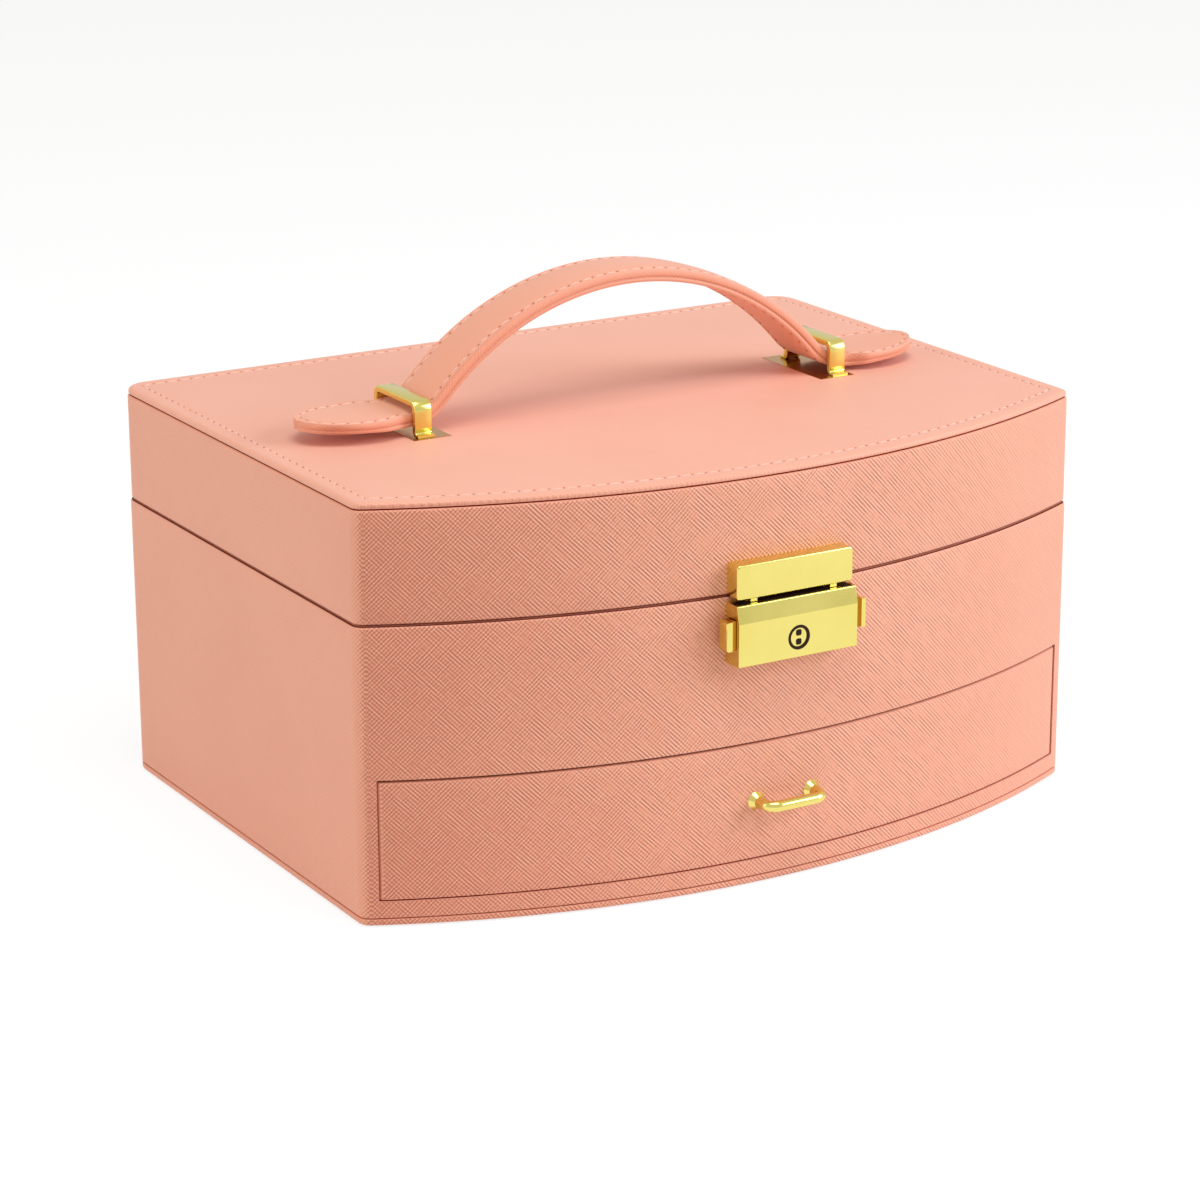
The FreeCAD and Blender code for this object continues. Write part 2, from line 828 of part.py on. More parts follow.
def panel_cover():
    """Padded covering of the top panel, its edge turned down round the card."""
    offset = lid_inset + panel_inset
    shape = rounded_prism(offset, lid_wall_top + panel_gap, panel_top, top_r=panel_round,
                          bottom_r=panel_under_round)
    shape = shape.cut(plan_prism(offset + panel_edge, lid_wall_top, lid_wall_top + panel_board_thick))
    bed = panel_top + plate_proud - plate_size[2]
    for side in (-1, 1):
        shape = shape.cut(plate_block(side, bed, panel_top + over))
    for hole in stud_holes(stud_r, lid_wall_top, panel_top + over):
        shape = shape.cut(hole)
    return shape


def lid_lining():
    z0 = lid_bottom + lid_lining_rise
    outer = plan_prism(lid_wall, z0, ceiling, round_corners=False)
    hollow = plan_prism(lid_wall + lid_lining_thick, z0 - over, ceiling + over, round_corners=False)
    return outer.cut(hollow)


def ceiling_lining():
    return plan_prism(lid_wall, ceiling, deck_bottom, round_corners=False)


def mirror():
    return rounded_rect(mirror_width / 2, mirror_depth / 2, mirror_corner_r, mirror_y,
                        ceiling - mirror_thick, ceiling)


def mirror_frame():
    """Frame that laps over the edge of the glass."""
    grow = mirror_frame_width - mirror_lip
    low = ceiling - mirror_frame_thick
    shape = rounded_rect(mirror_width / 2 + grow, mirror_depth / 2 + grow, mirror_corner_r + grow,
                         mirror_y, low, ceiling)
    shape = shape.makeFillet(mirror_frame_round, edges_at(shape, low))
    seat = rounded_rect(mirror_width / 2 + mirror_fit, mirror_depth / 2 + mirror_fit,
                        mirror_corner_r, mirror_y, ceiling - mirror_thick, ceiling + over)
    sight = rounded_rect(mirror_width / 2 - mirror_lip, mirror_depth / 2 - mirror_lip,
                         mirror_corner_r - mirror_lip, mirror_y, low - over, ceiling)
    return shape.cut(seat).cut(sight)


def hasp_prong(side):
    """Prong that drops into the lock, with a tenon riveted into the hasp plate."""
    x = side * prong_x
    tip_z = hasp_bottom - prong_reach
    prong = box(x - prong_width / 2, x + prong_width / 2, prong_front, prong_back,
                tip_z, hasp_bottom + prong_tenon)
    return prong.makeChamfer(prong_chamfer, edges_at(prong, tip_z))


def hasp_plate():
    """Cast plate on the front of the lid."""
    half = hasp_width / 2
    front = front_y - hasp_proud
    shape = box(-half, half, front, bow_y(half, lid_inset) + over, hasp_bottom, hasp_bottom + hasp_height)
    corners = [e for e in shape.Edges if e.BoundBox.XLength + e.BoundBox.ZLength < same]
    shape = shape.makeFillet(hasp_corner, corners)
    edges = [e for e in shape.Edges if abs(e.BoundBox.YMax - front) < same]
    shape = shape.makeFillet(hasp_round, edges)
    shape = shape.cut(behind_bow(lid_inset, hasp_bottom - over, hasp_bottom + hasp_height + over))
    for side in (-1, 1):
        shape = shape.cut(hasp_prong(side)).cut(hasp_screw(side))
    return shape.removeSplitter()


# Handle

def loop_plate(side):
    bed = panel_top + plate_proud - plate_size[2]
    shape = plate_block(side, bed, bed + plate_size[2])
    for hole in stud_holes(stud_r, bed - over, bed + plate_size[2] + over):
        shape = shape.cut(hole)
    return shape


def strap_top_at(x):
    """Height of the strap's upper side at x, measured on its heel or its arch."""
    if x >= heel_x:
        return strap_base + strap_thick
    if x >= (arch_r + strap_thick) * math.sin(arch_lean):
        return heel_centre_z - math.sqrt((heel_r - strap_thick) ** 2 - (heel_x - x) ** 2)
    return arch_centre_z + math.sqrt((arch_r + strap_thick) ** 2 - x ** 2)


def handle_loop(side):
    """Square loop over the strap, with turned-out feet and a stud under each leg."""
    foot_z = panel_top + plate_proud
    top = strap_top_at(loop_x - loop_strip / 2) + loop_over + loop_thick
    outer = loop_half + loop_thick
    x0 = side * loop_x - loop_strip / 2
    x1 = x0 + loop_strip
    shape = box(x0, x1, handle_y - outer, handle_y + outer, foot_z, top)
    crown = [e for e in edges_at(shape, top) if e.BoundBox.YLength < same]
    shape = shape.makeFillet(loop_round, crown)
    shape = shape.cut(box(x0 - over, x1 + over, handle_y - loop_half, handle_y + loop_half,
                          foot_z - over, top - loop_thick))
    for way in (-1, 1):
        start = handle_y + way * loop_half
        end = handle_y + way * (outer + loop_foot)
        foot = box(x0, x1, min(start, end), max(start, end), foot_z, foot_z + loop_foot_thick)
        shape = shape.fuse(foot)
        stud = rod((side * loop_x, handle_y + way * stud_y, deck_bottom + stud_set_back), (0, 0, 1),
                   stud_r, foot_z - deck_bottom)
        shape = shape.fuse(stud)
    return shape.removeSplitter()


def loop_nuts():
    """Nuts under the deck, one on each stud."""
    pieces = []
    for x, y in stud_places():
        corners = []
        for i in range(7):
            turn = math.radians(60 * i)
            corners.append(Vector(x + nut_r * math.cos(turn), y + nut_r * math.sin(turn), deck_bottom))
        nut = Part.Face(Part.makePolygon(corners)).extrude(Vector(0, 0, nut_thick))
        pieces.append(nut.cut(rod((x, y, deck_bottom - over), (0, 0, 1), stud_r, nut_thick + 2 * over)))
    return pieces


def strap_line(offset):
    """Side view of the strap at offset above its underside: flat, heel, arch, heel, flat."""
    radius = arch_r + offset
    heel = heel_r - offset
    z = strap_base + offset
    end_x = flap_tip + strap_run
    points = {}
    for side in (-1, 1):
        points[side, "end"] = (side * end_x, 0, z)
        points[side, "flat"] = (side * heel_x, 0, z)
        half = arch_lean / 2
        points[side, "bend"] = (side * (heel_x - heel * math.sin(half)), 0,
                                heel_centre_z - heel * math.cos(half))
        points[side, "join"] = (side * radius * math.sin(arch_lean), 0,
                                arch_centre_z + radius * math.cos(arch_lean))
    top = (0, 0, arch_centre_z + radius)
    return [line(points[-1, "end"], points[-1, "flat"]),
            arc(points[-1, "flat"], points[-1, "bend"], points[-1, "join"]),
            arc(points[-1, "join"], top, points[1, "join"]),
            arc(points[1, "join"], points[1, "bend"], points[1, "flat"]),
            line(points[1, "flat"], points[1, "end"])]


def strap_band(low, high):
    """Full-width band between two heights of the strap."""
    end_x = flap_tip + strap_run
    ends = [line((side * end_x, 0, strap_base + low), (side * end_x, 0, strap_base + high))
            for side in (-1, 1)]
    wire = Part.Wire(Part.__sortEdges__(strap_line(low) + strap_line(high) + ends))
    face = Part.Face(wire)
    face.translate(Vector(0, handle_y - flap_width, 0))
    return face.extrude(Vector(0, 2 * flap_width, 0))


def strap_plan(z0, z1):
    """Outline from above: narrow through the loops, wider flaps with long round ends."""
    narrow = strap_width / 2
    wide = flap_width / 2
    neck = loop_x + loop_strip / 2 + neck_gap
    full = neck + flap_neck
    round_x = flap_tip - flap_end
    edges = []
    for side in (-1, 1):
        for way in (-1, 1):
            a = (side * neck, handle_y + way * narrow, z0)
            b = (side * full, handle_y + way * wide, z0)
            c = (side * round_x, handle_y + way * wide, z0)
            edges.append(line(a, b))
            edges.append(line(b, c))
        end = Part.Ellipse(Vector(side * round_x, handle_y, z0), flap_end, wide)
        first = math.pi / 2 if side < 0 else -math.pi / 2
        edges.append(Part.ArcOfEllipse(end, first, first + math.pi).toShape())
    for way in (-1, 1):
        edges.append(line((-neck, handle_y + way * narrow, z0), (neck, handle_y + way * narrow, z0)))
    wire = Part.Wire(Part.__sortEdges__(edges))
    return Part.Face(wire).extrude(Vector(0, 0, z1 - z0))


def handle_core(fit=0.0):
    """Stiff core in the middle of the arch."""
    low = (strap_thick - core_thick) / 2 - fit
    band = strap_band(low, low + core_thick + 2 * fit)
    half_x = core_length / 2 + fit
    half_y = core_width / 2 + fit
    middle = box(-half_x, half_x, handle_y - half_y, handle_y + half_y,
                 panel_top, strap_base + strap_rise + 2 * strap_thick)
    return band.common(middle)


def strap_layer(low, high):
    plan = strap_plan(panel_top, strap_base + strap_rise + 2 * strap_thick)
    return strap_band(low, high).common(plan).cut(handle_core(core_fit))


# Drawer

def drawer_front():
    shape = bowed_board(drawer_half - cover, cover, wall, drawer_bottom_z + cover, drawer_front_top - cover)
    for screw in both_sides(pull_screw):
        shape = shape.cut(screw)
    return shape


def drawer_front_cover():
    """Covering wrapped over the front board's face and its four edges."""
    shape = bowed_board(drawer_half, 0, wall, drawer_bottom_z, drawer_front_top)
    front_edges = [e for e in shape.Edges if on_front(e)]
    shape = shape.makeFillet(rim_round, front_edges)
    core = bowed_board(drawer_half - cover, cover, wall + over, drawer_bottom_z + cover,
                       drawer_front_top - cover)
    shape = shape.cut(core)
    for screw in both_sides(pull_screw):
        shape = shape.cut(screw)
    return shape


def on_front(edge):
    """Whether an edge of the drawer front lies on its outer, bowed face."""
    for vertex in edge.Vertexes:
        reach = math.hypot(vertex.X, vertex.Y - bow_centre_y)
        if abs(reach - bow_r) > same:
            return False
    return True


def drawer_side(side):
    outer = side * drawer_box_half
    inner = outer - side * drawer_board
    shape = box(min(outer, inner), max(outer, inner), front_y, drawer_back_y,
                drawer_floor, drawer_floor + drawer_side_height)
    return shape.common(behind_bow(wall, 0, case_height))


def drawer_back():
    half = drawer_box_half - drawer_board
    return box(-half, half, drawer_back_y - drawer_board, drawer_back_y,
               drawer_floor, drawer_floor + drawer_back_height)


def drawer_bottom():
    shape = box(-drawer_box_half, drawer_box_half, front_y, drawer_back_y, drawer_bottom_z, drawer_floor)
    return shape.common(behind_bow(wall, 0, case_height))


def drawer_room(inset, z0, z1):
    """Space inside the drawer, set in by inset from its boards."""
    half = drawer_box_half - drawer_board - inset
    shape = box(-half, half, front_y, drawer_back_y - drawer_board - inset, z0, z1)
    return shape.common(behind_bow(wall + inset, z0, z1))


def drawer_lining():
    top = drawer_floor + drawer_lining_height
    floor = drawer_floor + drawer_lining_thick
    return drawer_room(0, drawer_floor, top).cut(drawer_room(drawer_lining_thick, floor, top + over))


def drawer_dividers():
    """One long divider and four short ones: six compartments."""
    z0 = drawer_floor + drawer_lining_thick
    z1 = z0 + drawer_divider_height
    t = drawer_divider_thick / 2
    room = drawer_room(drawer_lining_thick, z0, z1)
    y = drawer_long_divider_y
    pieces = [box(-width, width, y - t, y + t, z0, z1).common(room)]
    for side in (-1, 1):
        x = side * drawer_cross_divider_x
        pieces.append(box(x - t, x + t, y + t, depth, z0, z1).common(room))
        pieces.append(box(x - t, x + t, -depth, y - t, z0, z1).common(room))
    return pieces


def drawer_pull():
    """Bowed rod with a flared foot at each end."""
    half = pull_span / 2
    bar_y = front_y - pull_proud + pull_rod_r
    foot_y = bow_y(half, 0) + pull_sink
    r = pull_bend_r
    lean = r * (1 - math.sqrt(0.5))
    path = Part.Wire([
        line((-half, foot_y, pull_z), (-half, bar_y + r, pull_z)),
        arc((-half, bar_y + r, pull_z), (-half + lean, bar_y + lean, pull_z), (-half + r, bar_y, pull_z)),
        line((-half + r, bar_y, pull_z), (half - r, bar_y, pull_z)),
        arc((half - r, bar_y, pull_z), (half - lean, bar_y + lean, pull_z), (half, bar_y + r, pull_z)),
        line((half, bar_y + r, pull_z), (half, foot_y, pull_z))])
    ring = Part.Wire(Part.makeCircle(pull_rod_r, Vector(-half, foot_y, pull_z), Vector(0, 1, 0)))
    shape = path.makePipeShell([ring], True, True)
    for side in (-1, 1):
        x = side * half
        flare = Part.makeCone(pull_base_r, pull_rod_r, pull_base + pull_sink, Vector(x, foot_y, pull_z),
                              Vector(0, -1, 0))
        shape = shape.fuse(flare)
    shape = shape.cut(behind_bow(0, 0, case_height))
    for side in (-1, 1):
        shape = shape.cut(pull_screw(side))
    return shape


def make_case():
    save("underside_sheet", underside_sheet())
    save("base_plate", base_plate())
    save("bay_floor", bay_floor())
    save("side_boards", *both_sides(lambda side: side_board(side, cover, base_top, case_board_top)))
    back = back_board(cover, base_top, case_board_top)
    for screw in hinge_screws(case_leaf_screw):
        back = back.cut(screw)
    save("back_board", back)
    front = bowed_board(inner_x, cover, wall, opening_top, case_board_top)
    for screw in both_sides(lock_screw):
        front = front.cut(screw)
    save("front_board", front)
    save("front_rail", bowed_board(inner_x, cover, wall, base_top, opening_bottom))
    save("case_cover", case_cover())
    save("shelf_board", shelf())
    save("drawer_runners", *both_sides(runner))
    save("drawer_stop", drawer_stop())
    save("tray_floor_pad", tray_pad_floor())
    save("tray_lining", tray_lining())
    save("tray_dividers", *tray_dividers())
    save("ring_rolls", *ring_rolls())


def make_lock():
    save("lock_body", lock_body())
    save("lock_back_plate", lock_plate())
    save("lock_screws", *both_sides(lock_screw))
    save("catch_button_left", catch_button(-1))
    save("catch_button_right", catch_button(1))
    save("catch_slide_left", catch_slide(-1))
    save("catch_slide_right", catch_slide(1))
    save("button_spring_left", button_spring(-1))
    save("button_spring_right", button_spring(1))
    save("key_barrel", key_barrel())
    save("lock_cam", lock_cam())
    save("hasp_plate", hasp_plate())
    save("hasp_prongs", *both_sides(hasp_prong))
    save("hasp_screws", *both_sides(hasp_screw))


def make_hinges():
    save("hinge_case_leaves", *both_sides(case_leaf))
    save("hinge_lid_leaves", *both_sides(lid_leaf))
    save("hinge_pins", *both_sides(hinge_pin))
    save("hinge_case_screws", *hinge_screws(case_leaf_screw))
    save("hinge_lid_screws", *hinge_screws(lid_leaf_screw))


def make_lid():
    back, front, sides = lid_boards()
    save("lid_deck", lid_deck())
    save("lid_back_board", back)
    save("lid_front_board", front)
    save("lid_side_boards", *sides)
    save("lid_cover", lid_cover())
    save("panel_board", panel_board())
    save("panel_cover", panel_cover())
    save("lid_wall_lining", lid_lining())
    save("lid_ceiling_lining", ceiling_lining())
    save("mirror", mirror())
    save("mirror_frame", mirror_frame())


def make_handle():
    save("loop_plates", *both_sides(loop_plate))
    save("handle_loops", *both_sides(handle_loop))
    save("loop_nuts", *loop_nuts())
    save("handle_strap_bottom", strap_layer(0, strap_thick / 2))
    save("handle_strap_top", strap_layer(strap_thick / 2, strap_thick))
    save("handle_core", handle_core())


def make_drawer():
    save("drawer_front", drawer_front())
    save("drawer_front_cover", drawer_front_cover())
    save("drawer_sides", *both_sides(drawer_side))
    save("drawer_back", drawer_back())
    save("drawer_bottom", drawer_bottom())
    save("drawer_lining", drawer_lining())
    save("drawer_dividers", *drawer_dividers())
    save("drawer_pull", drawer_pull())
    save("pull_screws", *both_sides(pull_screw))


os.makedirs("parts", exist_ok=True)
make_case()
make_lock()
make_hinges()
make_lid()
make_handle()
make_drawer()
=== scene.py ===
import json
import math
import random

import bmesh
import bpy
from mathutils import Matrix, Vector

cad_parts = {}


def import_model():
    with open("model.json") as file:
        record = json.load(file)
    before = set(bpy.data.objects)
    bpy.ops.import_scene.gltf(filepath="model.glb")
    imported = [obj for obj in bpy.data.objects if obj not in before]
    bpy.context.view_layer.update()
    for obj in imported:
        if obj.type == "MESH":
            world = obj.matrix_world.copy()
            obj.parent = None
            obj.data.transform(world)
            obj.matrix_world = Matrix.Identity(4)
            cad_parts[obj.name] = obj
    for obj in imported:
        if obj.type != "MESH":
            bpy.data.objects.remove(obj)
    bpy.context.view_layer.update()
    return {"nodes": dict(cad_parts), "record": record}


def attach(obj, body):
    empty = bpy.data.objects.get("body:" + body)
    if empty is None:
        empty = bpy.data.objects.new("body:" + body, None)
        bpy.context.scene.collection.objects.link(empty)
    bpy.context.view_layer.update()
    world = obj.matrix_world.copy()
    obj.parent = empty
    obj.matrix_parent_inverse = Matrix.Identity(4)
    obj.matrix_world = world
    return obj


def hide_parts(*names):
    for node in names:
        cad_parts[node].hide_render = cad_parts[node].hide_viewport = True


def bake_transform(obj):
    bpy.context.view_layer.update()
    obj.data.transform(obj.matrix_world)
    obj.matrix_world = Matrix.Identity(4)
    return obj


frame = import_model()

# Dressing for the bow-fronted jewellery box. Shapes are worked out in millimetres.
MM = 0.001

WIDTH = 220.0
SIDE_DEPTH = 143.0
BOW = 26.5
BACK_R = 8.0
FRONT_R = 4.0
COVER = 0.8
WALL = 4.0
CASE_TOP = 79.8
SKIN_BOTTOM = 2.5
LID_INSET = 0.35
LID_BOTTOM = 80.1
LID_TOP = 109.5
PANEL_INSET = 0.6
PANEL_TOP = 111.5
OPEN_LOW, OPEN_HIGH = 7.0, 39.5
DRAWER_HALF = 105.45
DRAWER_LOW, DRAWER_HIGH = 7.25, 38.85

BOW_R = ((WIDTH / 2) ** 2 + BOW ** 2) / (2 * BOW)
BACK_Y = (SIDE_DEPTH + BOW) / 2
FRONT_Y = -BACK_Y
BOW_CY = FRONT_Y + BOW_R
INNER_X = WIDTH / 2 - WALL

HANDLE_Y = 0.5
STRAP_BASE = 111.9
STRAP_THICK = 3.6
ARCH_R = 76.0
HEEL_R = 15.0
ARCH_CZ = STRAP_BASE + 32.6 - ARCH_R
HEEL_CZ = STRAP_BASE + HEEL_R
HEEL_X = math.sqrt((ARCH_R + HEEL_R) ** 2 - (HEEL_CZ - ARCH_CZ) ** 2)
ARCH_LEAN = math.asin(HEEL_X / (ARCH_R + HEEL_R))
STRAP_HALF = 9.5
FLAP_HALF = 11.8
FLAP_TIP = HEEL_X + 26.2
LOOP_X = HEEL_X - 4.8
LOOP_STRIP = 5.0
LOOP_TOP = 121.3
LOOP_THICK = 1.8
LOOP_HALF = STRAP_HALF + 0.5


def link(obj):
    bpy.context.scene.collection.objects.link(obj)
    return obj


def smooth(obj, sharp=35.0):
    """Consistent outward normals, smooth shading, and sharp edges above an angle."""
    bm = bmesh.new()
    bm.from_mesh(obj.data)
    bmesh.ops.recalc_face_normals(bm, faces=bm.faces)
    bm.to_mesh(obj.data)
    bm.free()
    obj.data.shade_smooth()
    obj.data.set_sharp_from_angle(angle=math.radians(sharp))
    return obj


def build(name, points, faces, uvs=None, sharp=35.0, slots=None):
    """Mesh object from points in mm; uvs hold one (u, v) in mm for each face corner."""
    mesh = bpy.data.meshes.new(name)
    mesh.from_pydata([Vector(p) * MM for p in points], [], faces)
    if uvs:
        layer = mesh.uv_layers.new(name="grain")
        layer.data.foreach_set("uv", [c for face in uvs for uv in face for c in uv])
    if slots:
        mesh.polygons.foreach_set("material_index", slots)
    return smooth(link(bpy.data.objects.new(name, mesh)), sharp)


def dress(obj, body, slot, *materials, replaces=()):
    obj.data.materials.clear()
    for material in materials:
        obj.data.materials.append(material)
    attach(obj, body)
    if replaces:
        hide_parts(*replaces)
    return obj


def bow_y(x, inset=0.0):
    return BOW_CY - math.sqrt((BOW_R - inset) ** 2 - x * x)


def plan_loop(inset=0.0):
    """Outline in plan set in by inset, as (x, y, outward nx, ny, run): bowed front, then anticlockwise."""
    half = WIDTH / 2 - inset
    back = BACK_Y - inset
    radius = BOW_R - inset
    rear = max(BACK_R - inset, 0.4)
    fore = max(FRONT_R - inset, 0.4)
    corner_y = BOW_CY - math.sqrt((radius - fore) ** 2 - (half - fore) ** 2)
    lean = math.atan2(corner_y - BOW_CY, half - fore)
    points = []

    def arc(cx, cy, r, start, end, pieces):
        for i in range(pieces):
            turn = start + (end - start) * i / pieces
            points.append((cx + r * math.cos(turn), cy + r * math.sin(turn), math.cos(turn), math.sin(turn)))

    def straight(a, b, normal, pieces):
        for i in range(pieces):
            t = i / pieces
            points.append((a[0] + (b[0] - a[0]) * t, a[1] + (b[1] - a[1]) * t, *normal))

    quarter = math.pi / 2
    arc(0, BOW_CY, radius, -math.pi - lean, lean, 73)
    arc(half - fore, corner_y, fore, lean, 0, 8)
    straight((half, corner_y), (half, back - rear), (1, 0), 16)
    arc(half - rear, back - rear, rear, 0, quarter, 10)
    straight((half - rear, back), (-half + rear, back), (0, 1), 24)
    arc(-half + rear, back - rear, rear, quarter, 2 * quarter, 10)
    straight((-half, back - rear), (-half, corner_y), (-1, 0), 16)
    arc(-half + fore, corner_y, fore, math.pi, math.pi * 2 - math.pi - lean, 8)
    run = 0.0
    loop = []
    for i, p in enumerate(points):
        if i:
            run += math.dist(p[:2], points[i - 1][:2])
        loop.append((*p, run))
    return loop


OUTLINE = plan_loop()


def sweep(name, profile, closed=True, sharp=35.0, level=False):
    """Sweep a profile of (inset, z) round the outline. An open profile gets a cap at each end.

    The grain runs round the walls, or lies level as seen from above.
    """
    loops = {o: plan_loop(o) for o, _ in profile}
    n, m = len(OUTLINE), len(profile)
    total = OUTLINE[-1][4] + math.dist(OUTLINE[-1][:2], OUTLINE[0][:2])
    points = [(*loops[o][i][:2], z) for i in range(n) for o, z in profile]
    run = [profile[0][1]]
    for a, b in zip(profile, profile[1:] + profile[:1]):
        run.append(run[-1] + math.dist(a, b))
    faces, uvs = [], []
    for i in range(n):
        k = (i + 1) % n
        s0, s1 = OUTLINE[i][4], (OUTLINE[k][4] if k else total)
        for j in range(m if closed else m - 1):
            l = (j + 1) % m
            face = (i * m + j, k * m + j, k * m + l, i * m + l)
            faces.append(face)
            if level:
                uvs.append(tuple(points[c][:2] for c in face))
            else:
                uvs.append(((s0, run[j]), (s1, run[j]), (s1, run[j + 1]), (s0, run[j + 1])))
    if not closed:
        for j in (0, m - 1):
            rim = [i * m + j for i in range(n)]
            faces.append(tuple(rim))
            uvs.append(tuple(points[c][:2] for c in rim))
    return build(name, points, faces, uvs, sharp)


def quarter_round(inset, z, radius, way_in, way_z, pieces=4):
    """Profile points of a rounded rim, from the wall to the flat: way_z is +1 at a top rim."""
    rows = []
    for i in range(pieces + 1):
        turn = math.pi / 2 * i / pieces
        rows.append((inset + way_in * radius * (1 - math.cos(turn)), z - way_z * radius * (1 - math.sin(turn))))
    return rows


def boolean_cut(obj, cutter):
    cut = obj.modifiers.new("cut", "BOOLEAN")
    cut.operation = "DIFFERENCE"
    cut.solver = "EXACT"
    cut.object = cutter
    shown = obj.evaluated_get(bpy.context.evaluated_depsgraph_get())
    mesh = bpy.data.meshes.new_from_object(shown)
    obj.modifiers.clear()
    obj.data = mesh
    bpy.data.objects.remove(cutter)
    return obj


def block(name, x0, x1, y0, y1, z0, z1):
    points = [(x, y, z) for x in (x0, x1) for y in (y0, y1) for z in (z0, z1)]
    faces = [(0, 1, 3, 2), (4, 6, 7, 5), (0, 4, 5, 1), (2, 3, 7, 6), (0, 2, 6, 4), (1, 5, 7, 3)]
    uvs = [[(points[i][0] + points[i][1], points[i][2] + points[i][1]) for i in f] for f in faces]
    return build(name, points, faces, uvs)


def capsules(name, stations, length, thick):
    """One thread stitch at each station (place, direction, normal): a small sunk bead."""
    points, faces = [], []
    rings = ((-0.5, 0.35), (-0.36, 0.85), (0.0, 1.0), (0.36, 0.85), (0.5, 0.35))
    for place, along, up in stations:
        side = along.cross(up).normalized()
        first = len(points)
        for t, full in rings:
            sink = -thick * 0.5 * (1 - math.cos(t * 2.6))
            for i in range(6):
                turn = math.pi / 3 * i
                points.append(place + along * (t * length) + up * (sink + math.sin(turn) * thick / 2 * full)
                              + side * (math.cos(turn) * thick / 2 * full))
        for r in range(len(rings) - 1):
            for i in range(6):
                k = (i + 1) % 6
                a = first + r * 6
                faces.append((a + i, a + k, a + 6 + k, a + 6 + i))
        faces.append(tuple(first + i for i in range(6)))
        faces.append(tuple(first + (len(rings) - 1) * 6 + i for i in range(6)))
    return build(name, points, faces, sharp=80)


def holes(name, stations, pitch):
    """Needle holes, one between each stitch and the next, as small sunk beads; their darker colour is painted shade
    of each hole.
    """
    moved = [(place + along * (pitch / 2), along, up) for place, along, up in stations]
    return capsules(name, moved, 0.62, 0.5)


def spaced(path, pitch):
    """Stations at an even pitch along a dense path of (place, normal)."""
    out = []
    runs = [0.0]
    for (a, _), (b, _) in zip(path, path[1:]):
        runs.append(runs[-1] + (b - a).length)
    count = max(2, round(runs[-1] / pitch))
    j = 0
    for i in range(count):
        target = runs[-1] * (i + 0.5) / count
        while runs[j + 1] < target:
            j += 1
        t = (target - runs[j]) / max(1e-9, runs[j + 1] - runs[j])
        place = path[j][0].lerp(path[j + 1][0], t)
        up = path[j][1].lerp(path[j + 1][1], t).normalized()
        out.append((place, (path[j + 1][0] - path[j][0]).normalized(), up))
    return out


# Materials

def material(name):
    mat = bpy.data.materials.new(name)
    mat.use_nodes = True
    nodes = mat.node_tree.nodes
    return mat, nodes, mat.node_tree.links, nodes["Principled BSDF"]


def maths(nodes, links, kind, a, b=None, c=None):
    node = nodes.new("ShaderNodeMath")
    node.operation = kind
    for socket, value in zip(node.inputs, (a, b, c)):
        if value is None:
            continue
        if isinstance(value, (int, float)):
            socket.default_value = value
        else:
            links.new(value, socket)
    return node.outputs[0]


def noise(nodes, links, vector, scale, detail=2.0, rough=0.5):
    node = nodes.new("ShaderNodeTexNoise")
    node.inputs["Scale"].default_value = scale
    node.inputs["Detail"].default_value = detail
    node.inputs["Roughness"].default_value = rough
    links.new(vector, node.inputs["Vector"])
    return node.outputs["Fac"]


def ramp(nodes, links, factor, stops):
    node = nodes.new("ShaderNodeValToRGB")
    elements = node.color_ramp.elements
    while len(elements) < len(stops):
        elements.new(0.5)
    for element, (place, colour) in zip(elements, stops):
        element.position = place
        element.color = (*colour, 1.0)
    links.new(factor, node.inputs["Fac"])
    return node.outputs["Color"]


def bump(nodes, links, height, distance, strength=1.0):
    node = nodes.new("ShaderNodeBump")
    node.inputs["Distance"].default_value = distance
    node.inputs["Strength"].default_value = strength
    links.new(height, node.inputs["Height"])
    return node.outputs["Normal"]


def srgb(r, g, b):
    def lin(c):
        c /= 255.0
        return c / 12.92 if c <= 0.04045 else ((c + 0.055) / 1.055) ** 2.4
    return lin(r), lin(g), lin(b)


def clamp(nodes, links, value, low, high):
    return maths(nodes, links, "MINIMUM", maths(nodes, links, "MAXIMUM", value, low), high)


def grain_lines(nodes, links, across, along, factor, seed):
    """Pressed lines that waver, fade and come back along their run."""
    place = nodes.new("ShaderNodeCombineXYZ")
    place.inputs[2].default_value = seed
    links.new(maths(nodes, links, "MULTIPLY", across, 0.3), place.inputs[0])
    links.new(maths(nodes, links, "MULTIPLY", along, 0.05), place.inputs[1])
    drift = noise(nodes, links, place.outputs[0], 1.0, 1.0)
    fade = noise(nodes, links, place.outputs[0], 1.9, 2.0)
    phase = maths(nodes, links, "MULTIPLY_ADD", drift, 2.0, maths(nodes, links, "MULTIPLY", across, factor))
    wave = maths(nodes, links, "MULTIPLY", maths(nodes, links, "SINE", phase), 0.5)
    strength = clamp(nodes, links, maths(nodes, links, "MULTIPLY_ADD", fade, 3.4, -0.95), 0.25, 1.0)
    return maths(nodes, links, "MULTIPLY_ADD", wave, strength, 0.35)


